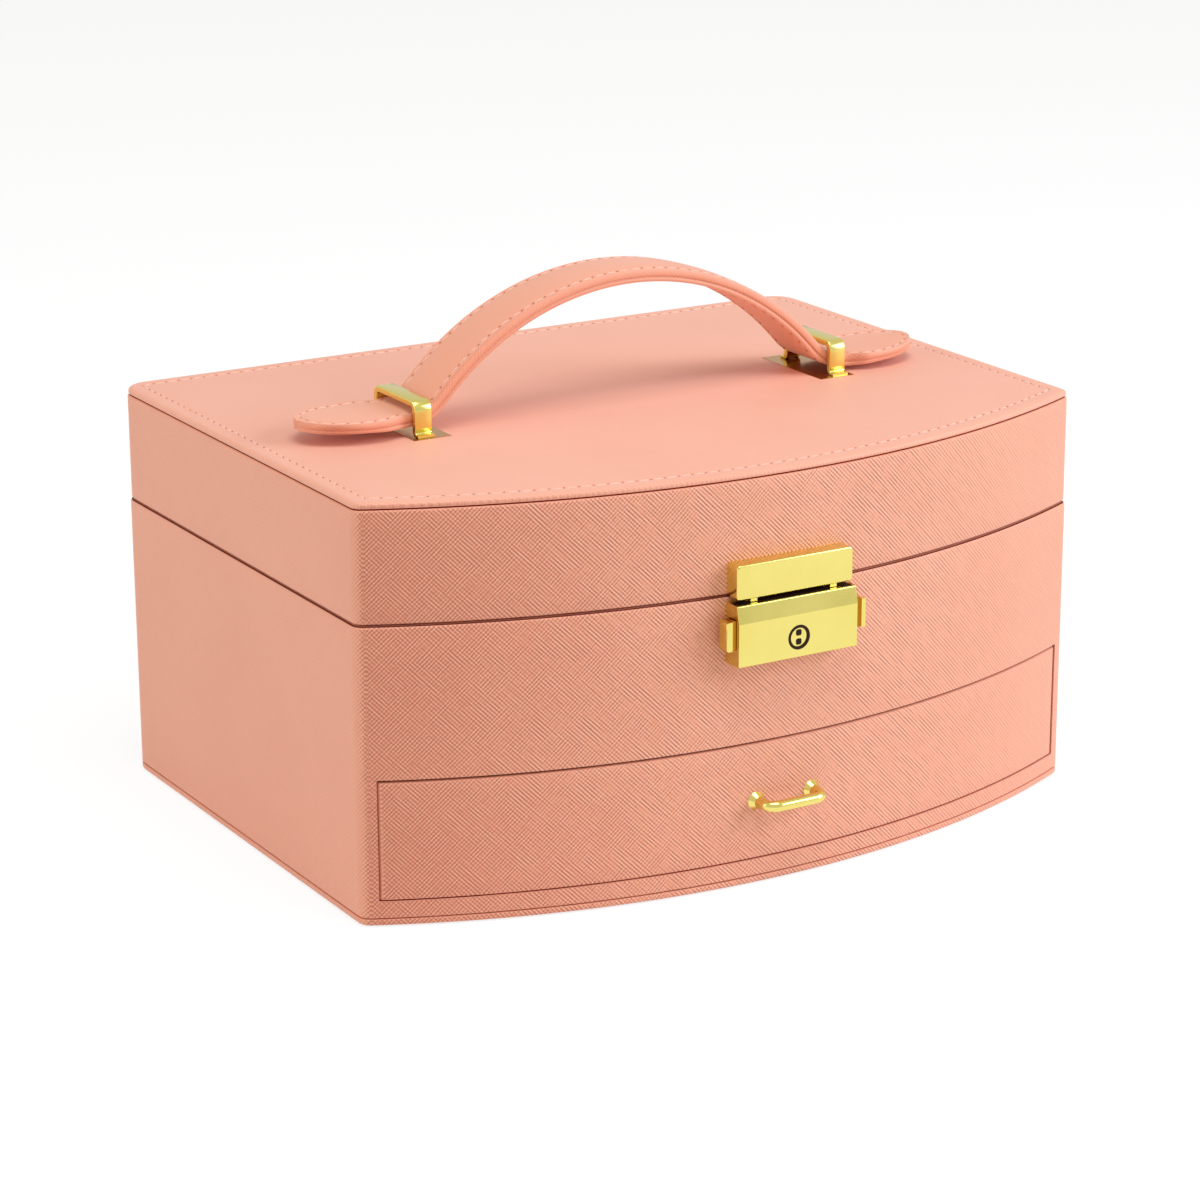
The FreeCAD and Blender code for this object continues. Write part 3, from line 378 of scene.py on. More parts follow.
def crosshatch(nodes, links, where, source, pitch, limit):
    """Diagonal grain both ways, in patches where one way leads.

    It is crisp on the front, up to limit, and there it fades towards the right, where the light comes from.
    """
    vector = where.outputs[source]
    unit = 1.0 if source == "UV" else 1000.0
    split = nodes.new("ShaderNodeSeparateXYZ")
    links.new(vector, split.inputs[0])
    u = maths(nodes, links, "MULTIPLY", split.outputs[0], unit)
    v = maths(nodes, links, "MULTIPLY", split.outputs[1 if source == "UV" else 2], unit)
    falling = maths(nodes, links, "ADD", u, v)
    rising = maths(nodes, links, "SUBTRACT", u, v)
    factor = 2 * math.pi / (pitch * math.sqrt(2))
    lead = grain_lines(nodes, links, falling, rising, factor, 0.0)
    cross = grain_lines(nodes, links, rising, falling, factor * 1.04, 7.0)
    patch = noise(nodes, links, vector, 0.13 * unit, 2.0)
    facing = nodes.new("ShaderNodeSeparateXYZ")
    links.new(where.outputs["Normal"], facing.inputs[0])
    turned = maths(nodes, links, "MULTIPLY_ADD", facing.outputs[0], 0.8, -0.35)
    share = clamp(nodes, links, maths(nodes, links, "MULTIPLY_ADD", patch, 2.4, turned), 0.46, 1.0)
    rest = maths(nodes, links, "SUBTRACT", 1.15, share)
    both = maths(nodes, links, "MULTIPLY_ADD", lead, share, maths(nodes, links, "MULTIPLY", cross, rest))
    grain = noise(nodes, links, vector, 1.5 * unit, 3.0, 0.6)
    height = maths(nodes, links, "MULTIPLY_ADD", grain, 0.3, both)
    front = clamp(nodes, links, maths(nodes, links, "MULTIPLY_ADD", facing.outputs[1], -1.8, -0.55), 0.0, 1.0)
    washed = clamp(nodes, links, maths(nodes, links, "MULTIPLY_ADD", facing.outputs[0], -2.5, 1.15), 0.2, 1.0)
    crisp = clamp(nodes, links, maths(nodes, links, "MULTIPLY", front, washed), min(0.22, limit), limit)
    return maths(nodes, links, "MULTIPLY_ADD", maths(nodes, links, "SUBTRACT", height, GRAIN_MEAN), crisp, GRAIN_MEAN)


GRAIN_MEAN = 0.55


def corner_shade(nodes, links, where):
    """Painted shade: a deeper tone on the front next to its left corner."""
    facing = nodes.new("ShaderNodeSeparateXYZ")
    links.new(where.outputs["Normal"], facing.inputs[0])
    left = clamp(nodes, links, maths(nodes, links, "MULTIPLY_ADD", facing.outputs[0], -3.0, -0.3), 0.0, 1.0)
    front = clamp(nodes, links, maths(nodes, links, "MULTIPLY_ADD", facing.outputs[1], -5.0, -3.4), 0.0, 1.0)
    return maths(nodes, links, "MULTIPLY", maths(nodes, links, "MULTIPLY", left, front), 0.2)


def seam_shade(nodes, links, where):
    """Painted shade of the gap where the leatherette turns in at the seam between lid and case, on its upright side.
    """
    place = nodes.new("ShaderNodeSeparateXYZ")
    links.new(where.outputs["Object"], place.inputs[0])
    facing = nodes.new("ShaderNodeSeparateXYZ")
    links.new(where.outputs["Normal"], facing.inputs[0])
    off = maths(nodes, links, "ABSOLUTE", maths(nodes, links, "SUBTRACT", place.outputs[2], SEAM_Z * MM))
    near = clamp(nodes, links, maths(nodes, links, "MULTIPLY_ADD", off, -7000.0, 3.2), 0.0, 1.0)
    level = maths(nodes, links, "ABSOLUTE", facing.outputs[2])
    upright = clamp(nodes, links, maths(nodes, links, "MULTIPLY_ADD", level, -20.0, 19.9), 0.0, 1.0)
    return maths(nodes, links, "MULTIPLY", near, upright)


SEAM_Z = (CASE_TOP + LID_BOTTOM) / 2


def leather(name, deep, mid, high, source="UV", pitch=0.85, relief=0.00016, rough=0.5, seam=False, limit=0.85):
    """Grained leatherette. UV coordinates are in mm; object coordinates are in metres."""
    mat, nodes, links, shader = material(name)
    where = nodes.new("ShaderNodeTexCoord")
    height = crosshatch(nodes, links, where, source, pitch, limit)
    patch = noise(nodes, links, where.outputs["Object"], 30.0, 3.0)
    tone = maths(nodes, links, "MULTIPLY_ADD", patch, 0.12, -0.06)
    # The grain's factor less the painted shade next to the front's left corner.
    factor = maths(nodes, links, "SUBTRACT", maths(nodes, links, "ADD", height, tone), corner_shade(nodes, links, where))
    colour = ramp(nodes, links, factor, ((0.2, deep), (GRAIN_MEAN, mid), (0.95, high)))
    # Painted shade at the lid-case seam: dark red-brown, with less gloss and sheen.
    if seam:
        shade = nodes.new("ShaderNodeMix")
        shade.data_type = "RGBA"
        dark = seam_shade(nodes, links, where)
        links.new(dark, shade.inputs[0])
        links.new(colour, shade.inputs[6])
        shade.inputs[7].default_value = (*srgb(104, 24, 6), 1.0)
        colour = shade.outputs[2]
        links.new(maths(nodes, links, "MULTIPLY_ADD", dark, -0.42, 0.45), shader.inputs["Specular IOR Level"])
        links.new(maths(nodes, links, "MULTIPLY_ADD", dark, -0.22, 0.22), shader.inputs["Sheen Weight"])
    else:
        shader.inputs["Specular IOR Level"].default_value = 0.45
        shader.inputs["Sheen Weight"].default_value = 0.22
    links.new(colour, shader.inputs["Base Color"])
    gloss = maths(nodes, links, "MULTIPLY_ADD", height, -0.12, rough + 0.08)
    links.new(gloss, shader.inputs["Roughness"])
    links.new(bump(nodes, links, height, relief), shader.inputs["Normal"])
    shader.inputs["Sheen Roughness"].default_value = 0.5
    shader.inputs["Sheen Tint"].default_value = (1.0, 0.97, 0.94, 1.0)
    return mat


def plain(name, dark, light, scale, relief, rough, sheen=0.0, sheen_tint=None, metallic=0.0, shine=0.5):
    """Finish made of fine noise: boards, velvet, cloth and metal differ in their numbers."""
    mat, nodes, links, shader = material(name)
    where = nodes.new("ShaderNodeTexCoord")
    fine = noise(nodes, links, where.outputs["Object"], scale, 4.0, 0.6)
    broad = noise(nodes, links, where.outputs["Object"], scale * 0.04, 2.0)
    factor = maths(nodes, links, "MULTIPLY_ADD", broad, 0.5, maths(nodes, links, "MULTIPLY", fine, 0.5))
    links.new(ramp(nodes, links, factor, ((0.3, dark), (0.7, light))), shader.inputs["Base Color"])
    links.new(maths(nodes, links, "MULTIPLY_ADD", fine, 0.14, rough - 0.07), shader.inputs["Roughness"])
    if relief:
        links.new(bump(nodes, links, fine, relief), shader.inputs["Normal"])
    shader.inputs["Metallic"].default_value = metallic
    shader.inputs["Specular IOR Level"].default_value = shine
    if sheen:
        shader.inputs["Sheen Weight"].default_value = sheen
        shader.inputs["Sheen Roughness"].default_value = 0.35
        shader.inputs["Sheen Tint"].default_value = (*sheen_tint, 1.0)
    return mat


CORAL_DEEP = srgb(204, 120, 92)
CORAL_MID = srgb(243, 166, 134)
CORAL_HIGH = srgb(254, 194, 164)
skin = leather("saffiano_coral", CORAL_DEEP, CORAL_MID, CORAL_HIGH, seam=True)
skin_flat = leather("saffiano_coral_flat", CORAL_DEEP, CORAL_MID, CORAL_HIGH, source="Object")
# Paler copy of the coral for the top panel: painted light, as the level top catches more light and sheen.
panel_skin = leather("saffiano_coral_top_lit", srgb(214, 134, 108), srgb(245, 172, 143), srgb(255, 200, 173),
                     relief=0.00007, limit=0.22)
strap_skin = leather("strap_coral", CORAL_DEEP, CORAL_MID, CORAL_HIGH, pitch=0.8, relief=0.00006, limit=0.16)
# Darker, redder copy of the coral for the strap's lower side: painted shade and bounced coral light.
strap_lower_shaded = leather("strap_lower_side_shaded", srgb(166, 52, 18), srgb(206, 78, 34), srgb(224, 104, 58),
                      pitch=0.8, relief=0.00005, limit=0.16)
# Darker coral: painted shade inside the needle holes.
needle_hole_shade = plain("needle_hole_shade", srgb(188, 108, 82), srgb(212, 134, 106), 900, 0.00005, 0.6)
gap_shade = plain("gap_shade", srgb(108, 22, 4), srgb(132, 36, 10), 900, 0.00005, 0.8, shine=0.05)
edge_paint = plain("edge_paint", srgb(120, 52, 34), srgb(160, 78, 52), 900, 0.00005, 0.5)
thread = plain("thread_coral", srgb(250, 190, 168), srgb(255, 214, 196), 3000, 0.00003, 0.6)
velvet = plain("velvet_champagne", srgb(196, 168, 140), srgb(224, 200, 176), 1500, 0.00012, 0.85,
               sheen=0.6, sheen_tint=srgb(250, 236, 220))
board = plain("fibreboard", srgb(138, 100, 66), srgb(186, 146, 104), 700, 0.00006, 0.8)
cloth_black = plain("underside_cloth", srgb(26, 25, 26), srgb(52, 50, 52), 1800, 0.00015, 0.9)
# Darker gold: painted shade, for the loop plates under the flaps and the button necks.
gold_shaded = plain("gold_plate_shaded", srgb(186, 128, 46), srgb(208, 150, 62), 60, 0.0, 0.22, metallic=1.0)
gold = plain("gold_plate", srgb(232, 215, 114), srgb(241, 226, 134), 60, 0.0, 0.18, metallic=1.0)
# Near-black metal: painted shade, for the key's gap and keyway and the top of the lock.
painted_shade_metal = plain("painted_shade_metal", srgb(30, 13, 4), srgb(48, 24, 10), 300, 0.0, 0.6, metallic=0.2, shine=0.2)
steel = plain("zinc_steel", srgb(150, 150, 152), srgb(190, 190, 192), 400, 0.00001, 0.32, metallic=1.0)
core = plain("stiff_core", srgb(40, 38, 36), srgb(66, 62, 58), 900, 0.00004, 0.6)
glass, _, _, glass_shader = material("mirror_glass")
glass_shader.inputs["Metallic"].default_value = 1.0
glass_nodes, glass_links = glass.node_tree.nodes, glass.node_tree.links
glass_place = glass_nodes.new("ShaderNodeTexCoord")
glass_haze = noise(glass_nodes, glass_links, glass_place.outputs["Object"], 12, 2.0)
glass_links.new(ramp(glass_nodes, glass_links, glass_haze, ((0.0, srgb(226, 232, 230)), (1.0, srgb(238, 242, 240)))),
                glass_shader.inputs["Base Color"])
glass_links.new(maths(glass_nodes, glass_links, "MULTIPLY_ADD", glass_haze, 0.02, 0.01),
                glass_shader.inputs["Roughness"])

FINISH = {"leatherette": skin_flat, "strap_leather": strap_skin, "board": board, "velvet": velvet,
          "underside_cloth": cloth_black, "gold": gold, "steel": steel, "mirror_glass": glass,
          "stiff_core": core}


def finish_cad_nodes():
    """Each CAD node takes the finish of its slot in the record, except the loop plates, which take a darker gold as
    painted shade under the strap's flaps.
    """
    for part in frame["record"]["subparts"]:
        obj = frame["nodes"][part["node"]]
        obj.data.materials.clear()
        obj.data.materials.append(gold_shaded if part["node"] == "loop_plates" else FINISH[part["material_slot"]])


def case_skin():
    """Covering of the case: up the outside and over the rim, with the drawer opening cut."""
    bottom = [(COVER, SKIN_BOTTOM), (0.25, SKIN_BOTTOM), (0.0, SKIN_BOTTOM + 0.25)]
    walls = [(0.0, z) for z in (10.0, 20.0, 30.0, 40.0, 50.0, 60.0, 70.0)]
    rim = quarter_round(0.0, CASE_TOP, 0.9, 1, 1)
    turned = [(2.4, CASE_TOP + 0.0), (3.9, CASE_TOP - 0.1), (3.9, CASE_TOP - COVER), (COVER, CASE_TOP - COVER)]
    obj = sweep("case_skin", bottom + walls + rim + turned)
    cutter = block("opening_cutter", -INNER_X, INNER_X, FRONT_Y - 10, FRONT_Y + 40, OPEN_LOW, OPEN_HIGH)
    smooth(boolean_cut(obj, cutter))
    return dress(obj, "case", "leatherette", skin, replaces=["case_cover"])


def base_skin():
    rows = [(5.0, 0.42), (0.9, 0.42)]
    rows += [(o, 2 * 0.42 + 1.8 - z) for o, z in reversed(quarter_round(0.0, 2.2, 0.7, 1, 1))]
    rows += quarter_round(0.0, 2.2, 0.35, 1, 1) + [(5.0, 2.2)]
    return dress(sweep("base_skin", rows, closed=False), "case", "leatherette", skin, replaces=["base_plate"])


def lid_skin():
    low = [(o, 2 * LID_BOTTOM - z + 0.0) for o, z in reversed(quarter_round(LID_INSET, LID_BOTTOM, 0.7, 1, 1))]
    walls = [(LID_INSET, z) for z in (86.0, 92.0, 98.0, 104.0)]
    rim = quarter_round(LID_INSET, LID_TOP, 0.7, 1, 1)
    inner = [(LID_INSET + COVER + 0.1, LID_TOP - 0.1), (LID_INSET + COVER, LID_TOP - 1.2),
             (LID_INSET + COVER, LID_BOTTOM + COVER), (3.95, LID_BOTTOM + COVER), (3.95, LID_BOTTOM)]
    obj = sweep("lid_skin", low + walls + rim + inner)
    return dress(obj, "lid", "leatherette", skin, replaces=["lid_cover"])


STITCH_INSET, STITCH_Z, STITCH_PITCH = 5.2, 111.34, 3.8
PANEL_ROWS = ((1.75, 110.45), (1.75, 109.8), (1.0, 109.8), (0.72, 109.9), (0.6, 110.2), (0.6, 110.45),
              (0.68, 110.8), (0.95, 111.12), (1.35, 111.33), (1.9, 111.46), (2.6, 111.5), (3.3, 111.47),
              (4.4, 111.44), (4.8, 111.36), (5.2, 111.28), (5.6, 111.36), (6.3, 111.46), (7.6, 111.5), (8.8, 111.5))


def panel():
    """Padded top panel: soft rim, a row of stitches drawn in, flat field."""
    obj = sweep("top_panel", list(PANEL_ROWS), closed=False, sharp=50, level=True)
    dress(obj, "lid", "leatherette", panel_skin, replaces=["panel_cover"])


def panel_stitches():
    path = [(Vector((x, y, STITCH_Z)), Vector((0, 0, 1))) for x, y, *_ in plan_loop(STITCH_INSET)]
    path.append(path[0])
    stations = spaced(path, STITCH_PITCH)
    dress(capsules("panel_stitches", stations, 2.7, 0.5), "lid", "leatherette", thread)
    dress(holes("panel_holes", stations, STITCH_PITCH), "lid", "leatherette", needle_hole_shade)


def gap_ring():
    """Shaded strip deep in the groove between the lid's walls and its top panel."""
    rows = [(0.95, 109.3), (0.95, 109.85), (1.6, 109.85), (1.6, 109.3)]
    dress(sweep("gap_ring", rows), "lid", "leatherette", gap_shade)


def bowed_shell(name, half, low, high, radius, back, thick):
    """Covering of the drawer front: rounded face, turned back over its four edges."""
    def steps(a, b, pieces):
        edge = [0.0, 0.15 * radius, 0.45 * radius, radius]
        return ([a + e for e in edge] + [a + radius + (b - a - 2 * radius) * i / pieces for i in range(1, pieces)]
                + [b - e for e in reversed(edge)])

    xs, zs = steps(-half, half, 64), steps(low, high, 8)
    points, index = [], {}

    def add(key, x, y, z):
        index[key] = len(points)
        points.append((x, y, z))

    for i, x in enumerate(xs):
        for j, z in enumerate(zs):
            depth = 0.0
            for e in (x + half, half - x, z - low, high - z):
                if e < radius:
                    depth = max(depth, radius - math.sqrt(radius ** 2 - (radius - e) ** 2))
            add(("out", i, j), x, bow_y(x, depth), z)
            x2 = max(-half + thick, min(half - thick, x))
            z2 = max(low + thick, min(high - thick, z))
            add(("in", i, j), x2, bow_y(x2, thick), z2)
    nx, nz = len(xs) - 1, len(zs) - 1
    rim = ([(i, 0) for i in range(nx)] + [(nx, j) for j in range(nz)]
           + [(i, nz) for i in range(nx, 0, -1)] + [(0, j) for j in range(nz, 0, -1)])
    for i, j in rim:
        x, z = xs[i], zs[j]
        add(("back", i, j), x, bow_y(x, back), z)
        x2, z2 = points[index["in", i, j]][0], points[index["in", i, j]][2]
        add(("back_in", i, j), x2, bow_y(x2, back), z2)
    faces, uvs = [], []

    def face(*keys):
        corners = [index[k] for k in keys]
        if len({tuple(points[c]) for c in corners}) < 3:
            return
        faces.append(tuple(corners))
        row = []
        for k, c in zip(keys, corners):
            x, y, z = points[c]
            deep = y - bow_y(x)
            row.append((BOW_R * math.asin(x / BOW_R) + (deep if abs(x) > half - 1 else 0) + 7.3,
                        z + (deep if high - z < 1 or z - low < 1 else 0)))
        uvs.append(row)

    for i in range(nx):
        for j in range(nz):
            face(("out", i, j), ("out", i + 1, j), ("out", i + 1, j + 1), ("out", i, j + 1))
            face(("in", i, j), ("in", i, j + 1), ("in", i + 1, j + 1), ("in", i + 1, j))
    for a, b in zip(rim, rim[1:] + rim[:1]):
        face(("out", *a), ("back", *a), ("back", *b), ("out", *b))
        face(("back", *a), ("back_in", *a), ("back_in", *b), ("back", *b))
        face(("back_in", *a), ("in", *a), ("in", *b), ("back_in", *b))
    obj = build(name, points, faces, uvs, sharp=40)
    bm = bmesh.new()
    bm.from_mesh(obj.data)
    bmesh.ops.remove_doubles(bm, verts=bm.verts, dist=1e-7)
    bmesh.ops.dissolve_degenerate(bm, edges=bm.edges, dist=1e-7)
    bm.to_mesh(obj.data)
    bm.free()
    return smooth(obj, 40)


# Strap

ARCH_RUN = (ARCH_R + STRAP_THICK / 2) * ARCH_LEAN
HEEL_RUN = (HEEL_R - STRAP_THICK / 2) * ARCH_LEAN
FLAP_END = 17.0
ROUND_X = FLAP_TIP - FLAP_END
NECK_X = LOOP_X + LOOP_STRIP / 2 + 1.0
NECK_RUN = 8.0
SEAM = 1.7


def ease(t):
    t = max(0.0, min(1.0, t))
    return t * t * (3 - 2 * t)


def strap_rise(side, x):
    """How far the strap stands up from its lowest lie: under the loops, and towards the flaps' tips."""
    tip = max(0.0, (x - HEEL_X) / (FLAP_TIP - HEEL_X))
    high = 2.1 + 0.7 * tip if side < 0 else 1.1 + 1.5 * tip * tip
    return high * ease((x - 57.0) / 12.0)


def strap_centre(side, s):
    """Middle of the strap's thickness at run s from the top, as x and z."""
    if s <= ARCH_RUN:
        r = ARCH_R + STRAP_THICK / 2
        turn = s / r
        x, z = r * math.sin(turn), ARCH_CZ + r * math.cos(turn)
    elif s <= ARCH_RUN + HEEL_RUN:
        r = HEEL_R - STRAP_THICK / 2
        turn = ARCH_LEAN - (s - ARCH_RUN) / r
        x, z = HEEL_X - r * math.sin(turn), HEEL_CZ - r * math.cos(turn)
    else:
        x, z = HEEL_X + s - ARCH_RUN - HEEL_RUN, STRAP_BASE + STRAP_THICK / 2
    return x, z + strap_rise(side, x)


def strap_frame(side, s):
    """Middle of the strap at run s, and its lean from level."""
    x0, z0 = strap_centre(side, max(0.0, s - 0.1))
    x1, z1 = strap_centre(side, s + 0.1)
    x, z = strap_centre(side, s)
    return x, z, math.atan2(z0 - z1, x1 - x0)


def strap_half(x):
    """Half width at x, and how far out the stitches run."""
    if x <= ROUND_X:
        wide = STRAP_HALF + (FLAP_HALF - STRAP_HALF) * ease((x - NECK_X) / NECK_RUN)
        return wide, wide - SEAM
    past = x - ROUND_X
    wide = FLAP_HALF * math.sqrt(max(0.0, 1 - (past / FLAP_END) ** 2))
    row = (FLAP_HALF - SEAM) * math.sqrt(max(0.0, 1 - (past / (FLAP_END - SEAM)) ** 2))
    return wide, row


def strap_shape(s):
    """Thickness and crown at run s. The flaps are thinner and flatter."""
    flat = ease((s - ARCH_RUN - HEEL_RUN) / 12.0)
    near_loop = ease((s - ARCH_RUN + 6.0) / 12.0)
    return STRAP_THICK - 0.9 * flat, 0.5 - 0.35 * near_loop


def strap_point(side, s, y, level):
    """Point of the strap: level 1 is its upper side, -1 its lower side."""
    x, z, turn = strap_frame(side, s)
    thick, crown = strap_shape(s)
    wide, row = strap_half(x)
    h = level * thick / 2
    if level > 0:
        h += crown * (0.8 - (y / max(wide, 0.5)) ** 2)
    dip = 0.3 if level > 0 else 0.2
    h -= level * dip * math.exp(-((abs(y) - row) / 0.55) ** 2)
    return Vector((side * (x + math.sin(turn) * h), HANDLE_Y + y, z + math.cos(turn) * h))


def strap_runs():
    runs = [ARCH_RUN * i / 34 for i in range(34)]
    runs += [ARCH_RUN + HEEL_RUN * i / 10 for i in range(10)]
    base = ARCH_RUN + HEEL_RUN
    runs += [base + (ROUND_X - HEEL_X) * i / 6 for i in range(6)]
    for i in range(19):
        turn = math.radians(86.5) * (1 - (1 - i / 18) ** 1.5)
        runs.append(base + ROUND_X - HEEL_X + FLAP_END * math.sin(turn))
    return runs


def strap_piece(side, name):
    """Two layers with a painted edge between them. Slots: upper leather, edge, lower leather in a darker, redder copy
    as painted shade and bounced light.
    """
    points, faces, uvs, slots = [], [], [], []
    rings = []
    for s in strap_runs():
        x = strap_centre(side, s)[0]
        wide, row = strap_half(x)
        inner = max(0.0, wide - 0.35)
        marks = [inner, (inner + row) / 2, row + 0.45, row, row - 0.5, row - 1.3, row * 0.5, 0.0]
        marks = [max(0.0, min(m, inner * (1 - 0.001 * i))) for i, m in enumerate(marks)]
        across = [-m for m in marks[:-1]] + [0.0] + list(reversed(marks[:-1]))
        ring = [(strap_point(side, s, y, 1), y) for y in across]
        thick = strap_shape(s)[0]
        full = min(1.0, wide)
        for way in (1, -1):
            top = strap_point(side, s, way * inner, 1)
            low = strap_point(side, s, way * inner, -1)
            edge = []
            for share, out in EDGE_PROFILE:
                p = top.lerp(low, share)
                spot = Vector((p.x, HANDLE_Y + way * (inner + out * full), p.z))
                edge.append((spot, way * (inner + share * thick)))
            if way > 0:
                ring += edge
                ring += [(strap_point(side, s, y, -1), 2 * inner + thick - y) for y in reversed(across)]
            else:
                ring += reversed(edge)
        rings.append((s, ring))
    m = len(rings[0][1])
    half = len(across)
    rim = len(EDGE_PROFILE)
    band = [0] * (half - 1) + EDGE_SLOTS + [2] * (half - 1) + EDGE_SLOTS[::-1]
    for _, ring in rings:
        points.extend(p for p, _ in ring)
    for i in range(len(rings) - 1):
        s0, s1 = rings[i][0], rings[i + 1][0]
        for j in range(m):
            k = (j + 1) % m
            faces.append((i * m + j, (i + 1) * m + j, (i + 1) * m + k, i * m + k))
            v0, v1 = rings[i][1][j][1], rings[i][1][k][1]
            if k == 0:
                v1 = v0 + 0.8
            uvs.append(((s0, v0), (s1, v0), (s1, v1), (s0, v1)))
            slots.append(band[j])
    for i in (0, len(rings) - 1):
        faces.append(tuple(i * m + j for j in range(m)))
        uvs.append([(p[0], p[1]) for p in points[i * m:(i + 1) * m]])
        slots.append(1)
    return build(name, points, faces, uvs, sharp=50, slots=slots)


# Side view of the strap's edge: share of the thickness from the top, and how far it stands out.
EDGE_PROFILE = ((0.1, 0.2), (0.28, 0.34), (0.46, 0.35), (0.58, 0.24), (0.63, 0.0), (0.71, 0.0), (0.76, 0.18), (0.88, 0.16))
# What the face between each two rows is made of, from the upper side down to the lower side
EDGE_SLOTS = [0, 0, 0, 0, 1, 1, 1, 0, 2]


def strap_stitches(side, name):
    """Thread and needle holes along both edges and round the flap, above and below."""
    stations = []
    for level in (1, -1):
        path = []
        for s in strap_runs():
            x = strap_centre(side, s)[0]
            wide, row = strap_half(x)
            if x > ROUND_X + FLAP_END - SEAM - 0.05:
                break
            path.append((s, row))
        left = [(strap_point(side, s, -row, level), s) for s, row in path]
        right = [(strap_point(side, s, row, level), s) for s, row in reversed(path)]
        line = []
        for p, s in left + right:
            turn = strap_frame(side, s)[2]
            up = Vector((side * math.sin(turn), 0, math.cos(turn))) * level
            line.append((p + up * 0.1, up))
        stations += spaced(line, STRAP_PITCH)
    return capsules(name, stations, 2.7, 0.5), holes(name + "_holes", stations, STRAP_PITCH)


STRAP_PITCH = 3.8


def blend_half(obj, side, slot, *materials, replaces=()):
    obj.data.materials.clear()
    for mat in materials:
        obj.data.materials.append(mat)
    if replaces:
        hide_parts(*replaces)
    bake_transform(obj)


def strap():
    for side, tag in ((-1, "left"), (1, "right")):
        replaces = ["handle_strap_bottom", "handle_strap_top"]
        obj = strap_piece(side, "strap_" + tag)
        blend_half(obj, side, "strap_leather", strap_skin, edge_paint, strap_lower_shaded, replaces=replaces)
        stitches, needle_holes = strap_stitches(side, "strap_stitches_" + tag)
        blend_half(stitches, side, "strap_leather", thread)
        blend_half(needle_holes, side, "strap_leather", needle_hole_shade)


# Gold loops

def strip_sweep(name, path, half, thick, bevel):
    """Flat strip along a path of (y, z, normal y, normal z), as wide as 2 * half along x."""
    section = []
    for sx, sn in ((1, 1), (-1, 1), (-1, -1), (1, -1)):
        for i in range(4):
            base = {(1, 1): 0, (-1, 1): 1, (-1, -1): 2, (1, -1): 3}[sx, sn] * math.pi / 2
            turn = base + math.pi / 2 * i / 3
            section.append((sx * (half - bevel) + bevel * math.cos(turn), sn * (0.5 - bevel / thick)
                            + bevel / thick * math.sin(turn)))
    points, faces = [], []
    m = len(section)
    for y, z, ny, nz, t in path:
        for dx, dn in section:
            points.append((dx, y + ny * dn * t, z + nz * dn * t))
    for i in range(len(path) - 1):
        for j in range(m):
            k = (j + 1) % m
            faces.append((i * m + j, (i + 1) * m + j, (i + 1) * m + k, i * m + k))
    faces.append(tuple(range(m)))
    faces.append(tuple((len(path) - 1) * m + j for j in range(m)))
    return build(name, points, faces, sharp=40)


def loop_path():
    """Foot, leg, bar, leg and foot of a loop, as a line with bends, from -y to +y."""
    foot_z = 111.6
    leg = LOOP_HALF + LOOP_THICK / 2
    bar_z = LOOP_TOP - LOOP_THICK / 2
    bend, heel = 1.8, 1.1
    rows = [(-(leg + 2.3), foot_z + 0.42, 0, 1, 0.8)]
    rows.append((-(leg + heel), foot_z + 0.45, 0, 1, 0.95))
    for i in range(1, 6):
        turn = math.pi / 2 * i / 5
        rows.append((-(leg + heel) + heel * math.sin(turn), foot_z + 0.45 + heel * (1 - math.cos(turn)),
                     -math.sin(turn), math.cos(turn), 0.95 + 0.85 * i / 5))
    rows.append((-leg, (foot_z + bar_z) / 2, -1, 0, LOOP_THICK))
    for i in range(6):
        turn = math.pi / 2 * i / 5
        rows.append((-leg + bend * (1 - math.cos(turn)), bar_z - bend + bend * math.sin(turn),
                     -math.cos(turn), math.sin(turn), LOOP_THICK))
    other = [(-y, z, -ny, nz, t) for y, z, ny, nz, t in reversed(rows)]
    return [(HANDLE_Y + y, z, ny, nz, t) for y, z, ny, nz, t in rows + other]


def loops():
    parts = []
    for side, tag in ((-1, "left"), (1, "right")):
        obj = strip_sweep("loop_" + tag, loop_path(), LOOP_STRIP / 2, LOOP_THICK, 0.35)
        obj.data.transform(Matrix.Translation((side * LOOP_X * MM, 0, 0)))
        dress(obj, "lid", "gold", gold)
        parts.append(obj)
    return parts


# Inside

def pillow(x0, x1, y0, y1, z0, z1, crown, points, faces, edge=2.5):
    """Crowned pad on a rectangle whose front edge may follow the bow (y0 may be a function)."""
    nx, ny = 18, 14
    first = len(points)

    def ease(e):
        return math.sqrt(max(0.0, 1 - (1 - min(1.0, e / edge)) ** 2))

    grid = {}
    for i in range(nx + 1):
        a = 0.5 - 0.5 * math.cos(math.pi * i / nx)
        x = x0 + (x1 - x0) * a
        front = y0(x) if callable(y0) else y0
        for j in range(ny + 1):
            b = 0.5 - 0.5 * math.cos(math.pi * j / ny)
            y = front + (y1 - front) * b
            rise = ease(min(x - x0, x1 - x)) * ease(min(y - front, y1 - y))
            dome = math.sin(math.pi * a) * math.sin(math.pi * b)
            grid[i, j, 1] = first + len(grid)
            points.append((x, y, z0 + (z1 - z0) * rise * 0.9 + 0.05 + crown * dome))
            grid[i, j, 0] = first + len(grid)
            points.append((x, y, z0))
    for i in range(nx):
        for j in range(ny):
            for top in (0, 1):
                quad = [grid[i, j, top], grid[i + 1, j, top], grid[i + 1, j + 1, top], grid[i, j + 1, top]]
                faces.append(tuple(quad if top else reversed(quad)))
    rim = ([(i, 0) for i in range(nx)] + [(nx, j) for j in range(ny)]
           + [(i, ny) for i in range(nx, 0, -1)] + [(0, j) for j in range(ny, 0, -1)])
    for a, b in zip(rim, rim[1:] + rim[:1]):
        faces.append((grid[a[0], a[1], 0], grid[b[0], b[1], 0], grid[b[0], b[1], 1], grid[a[0], a[1], 1]))


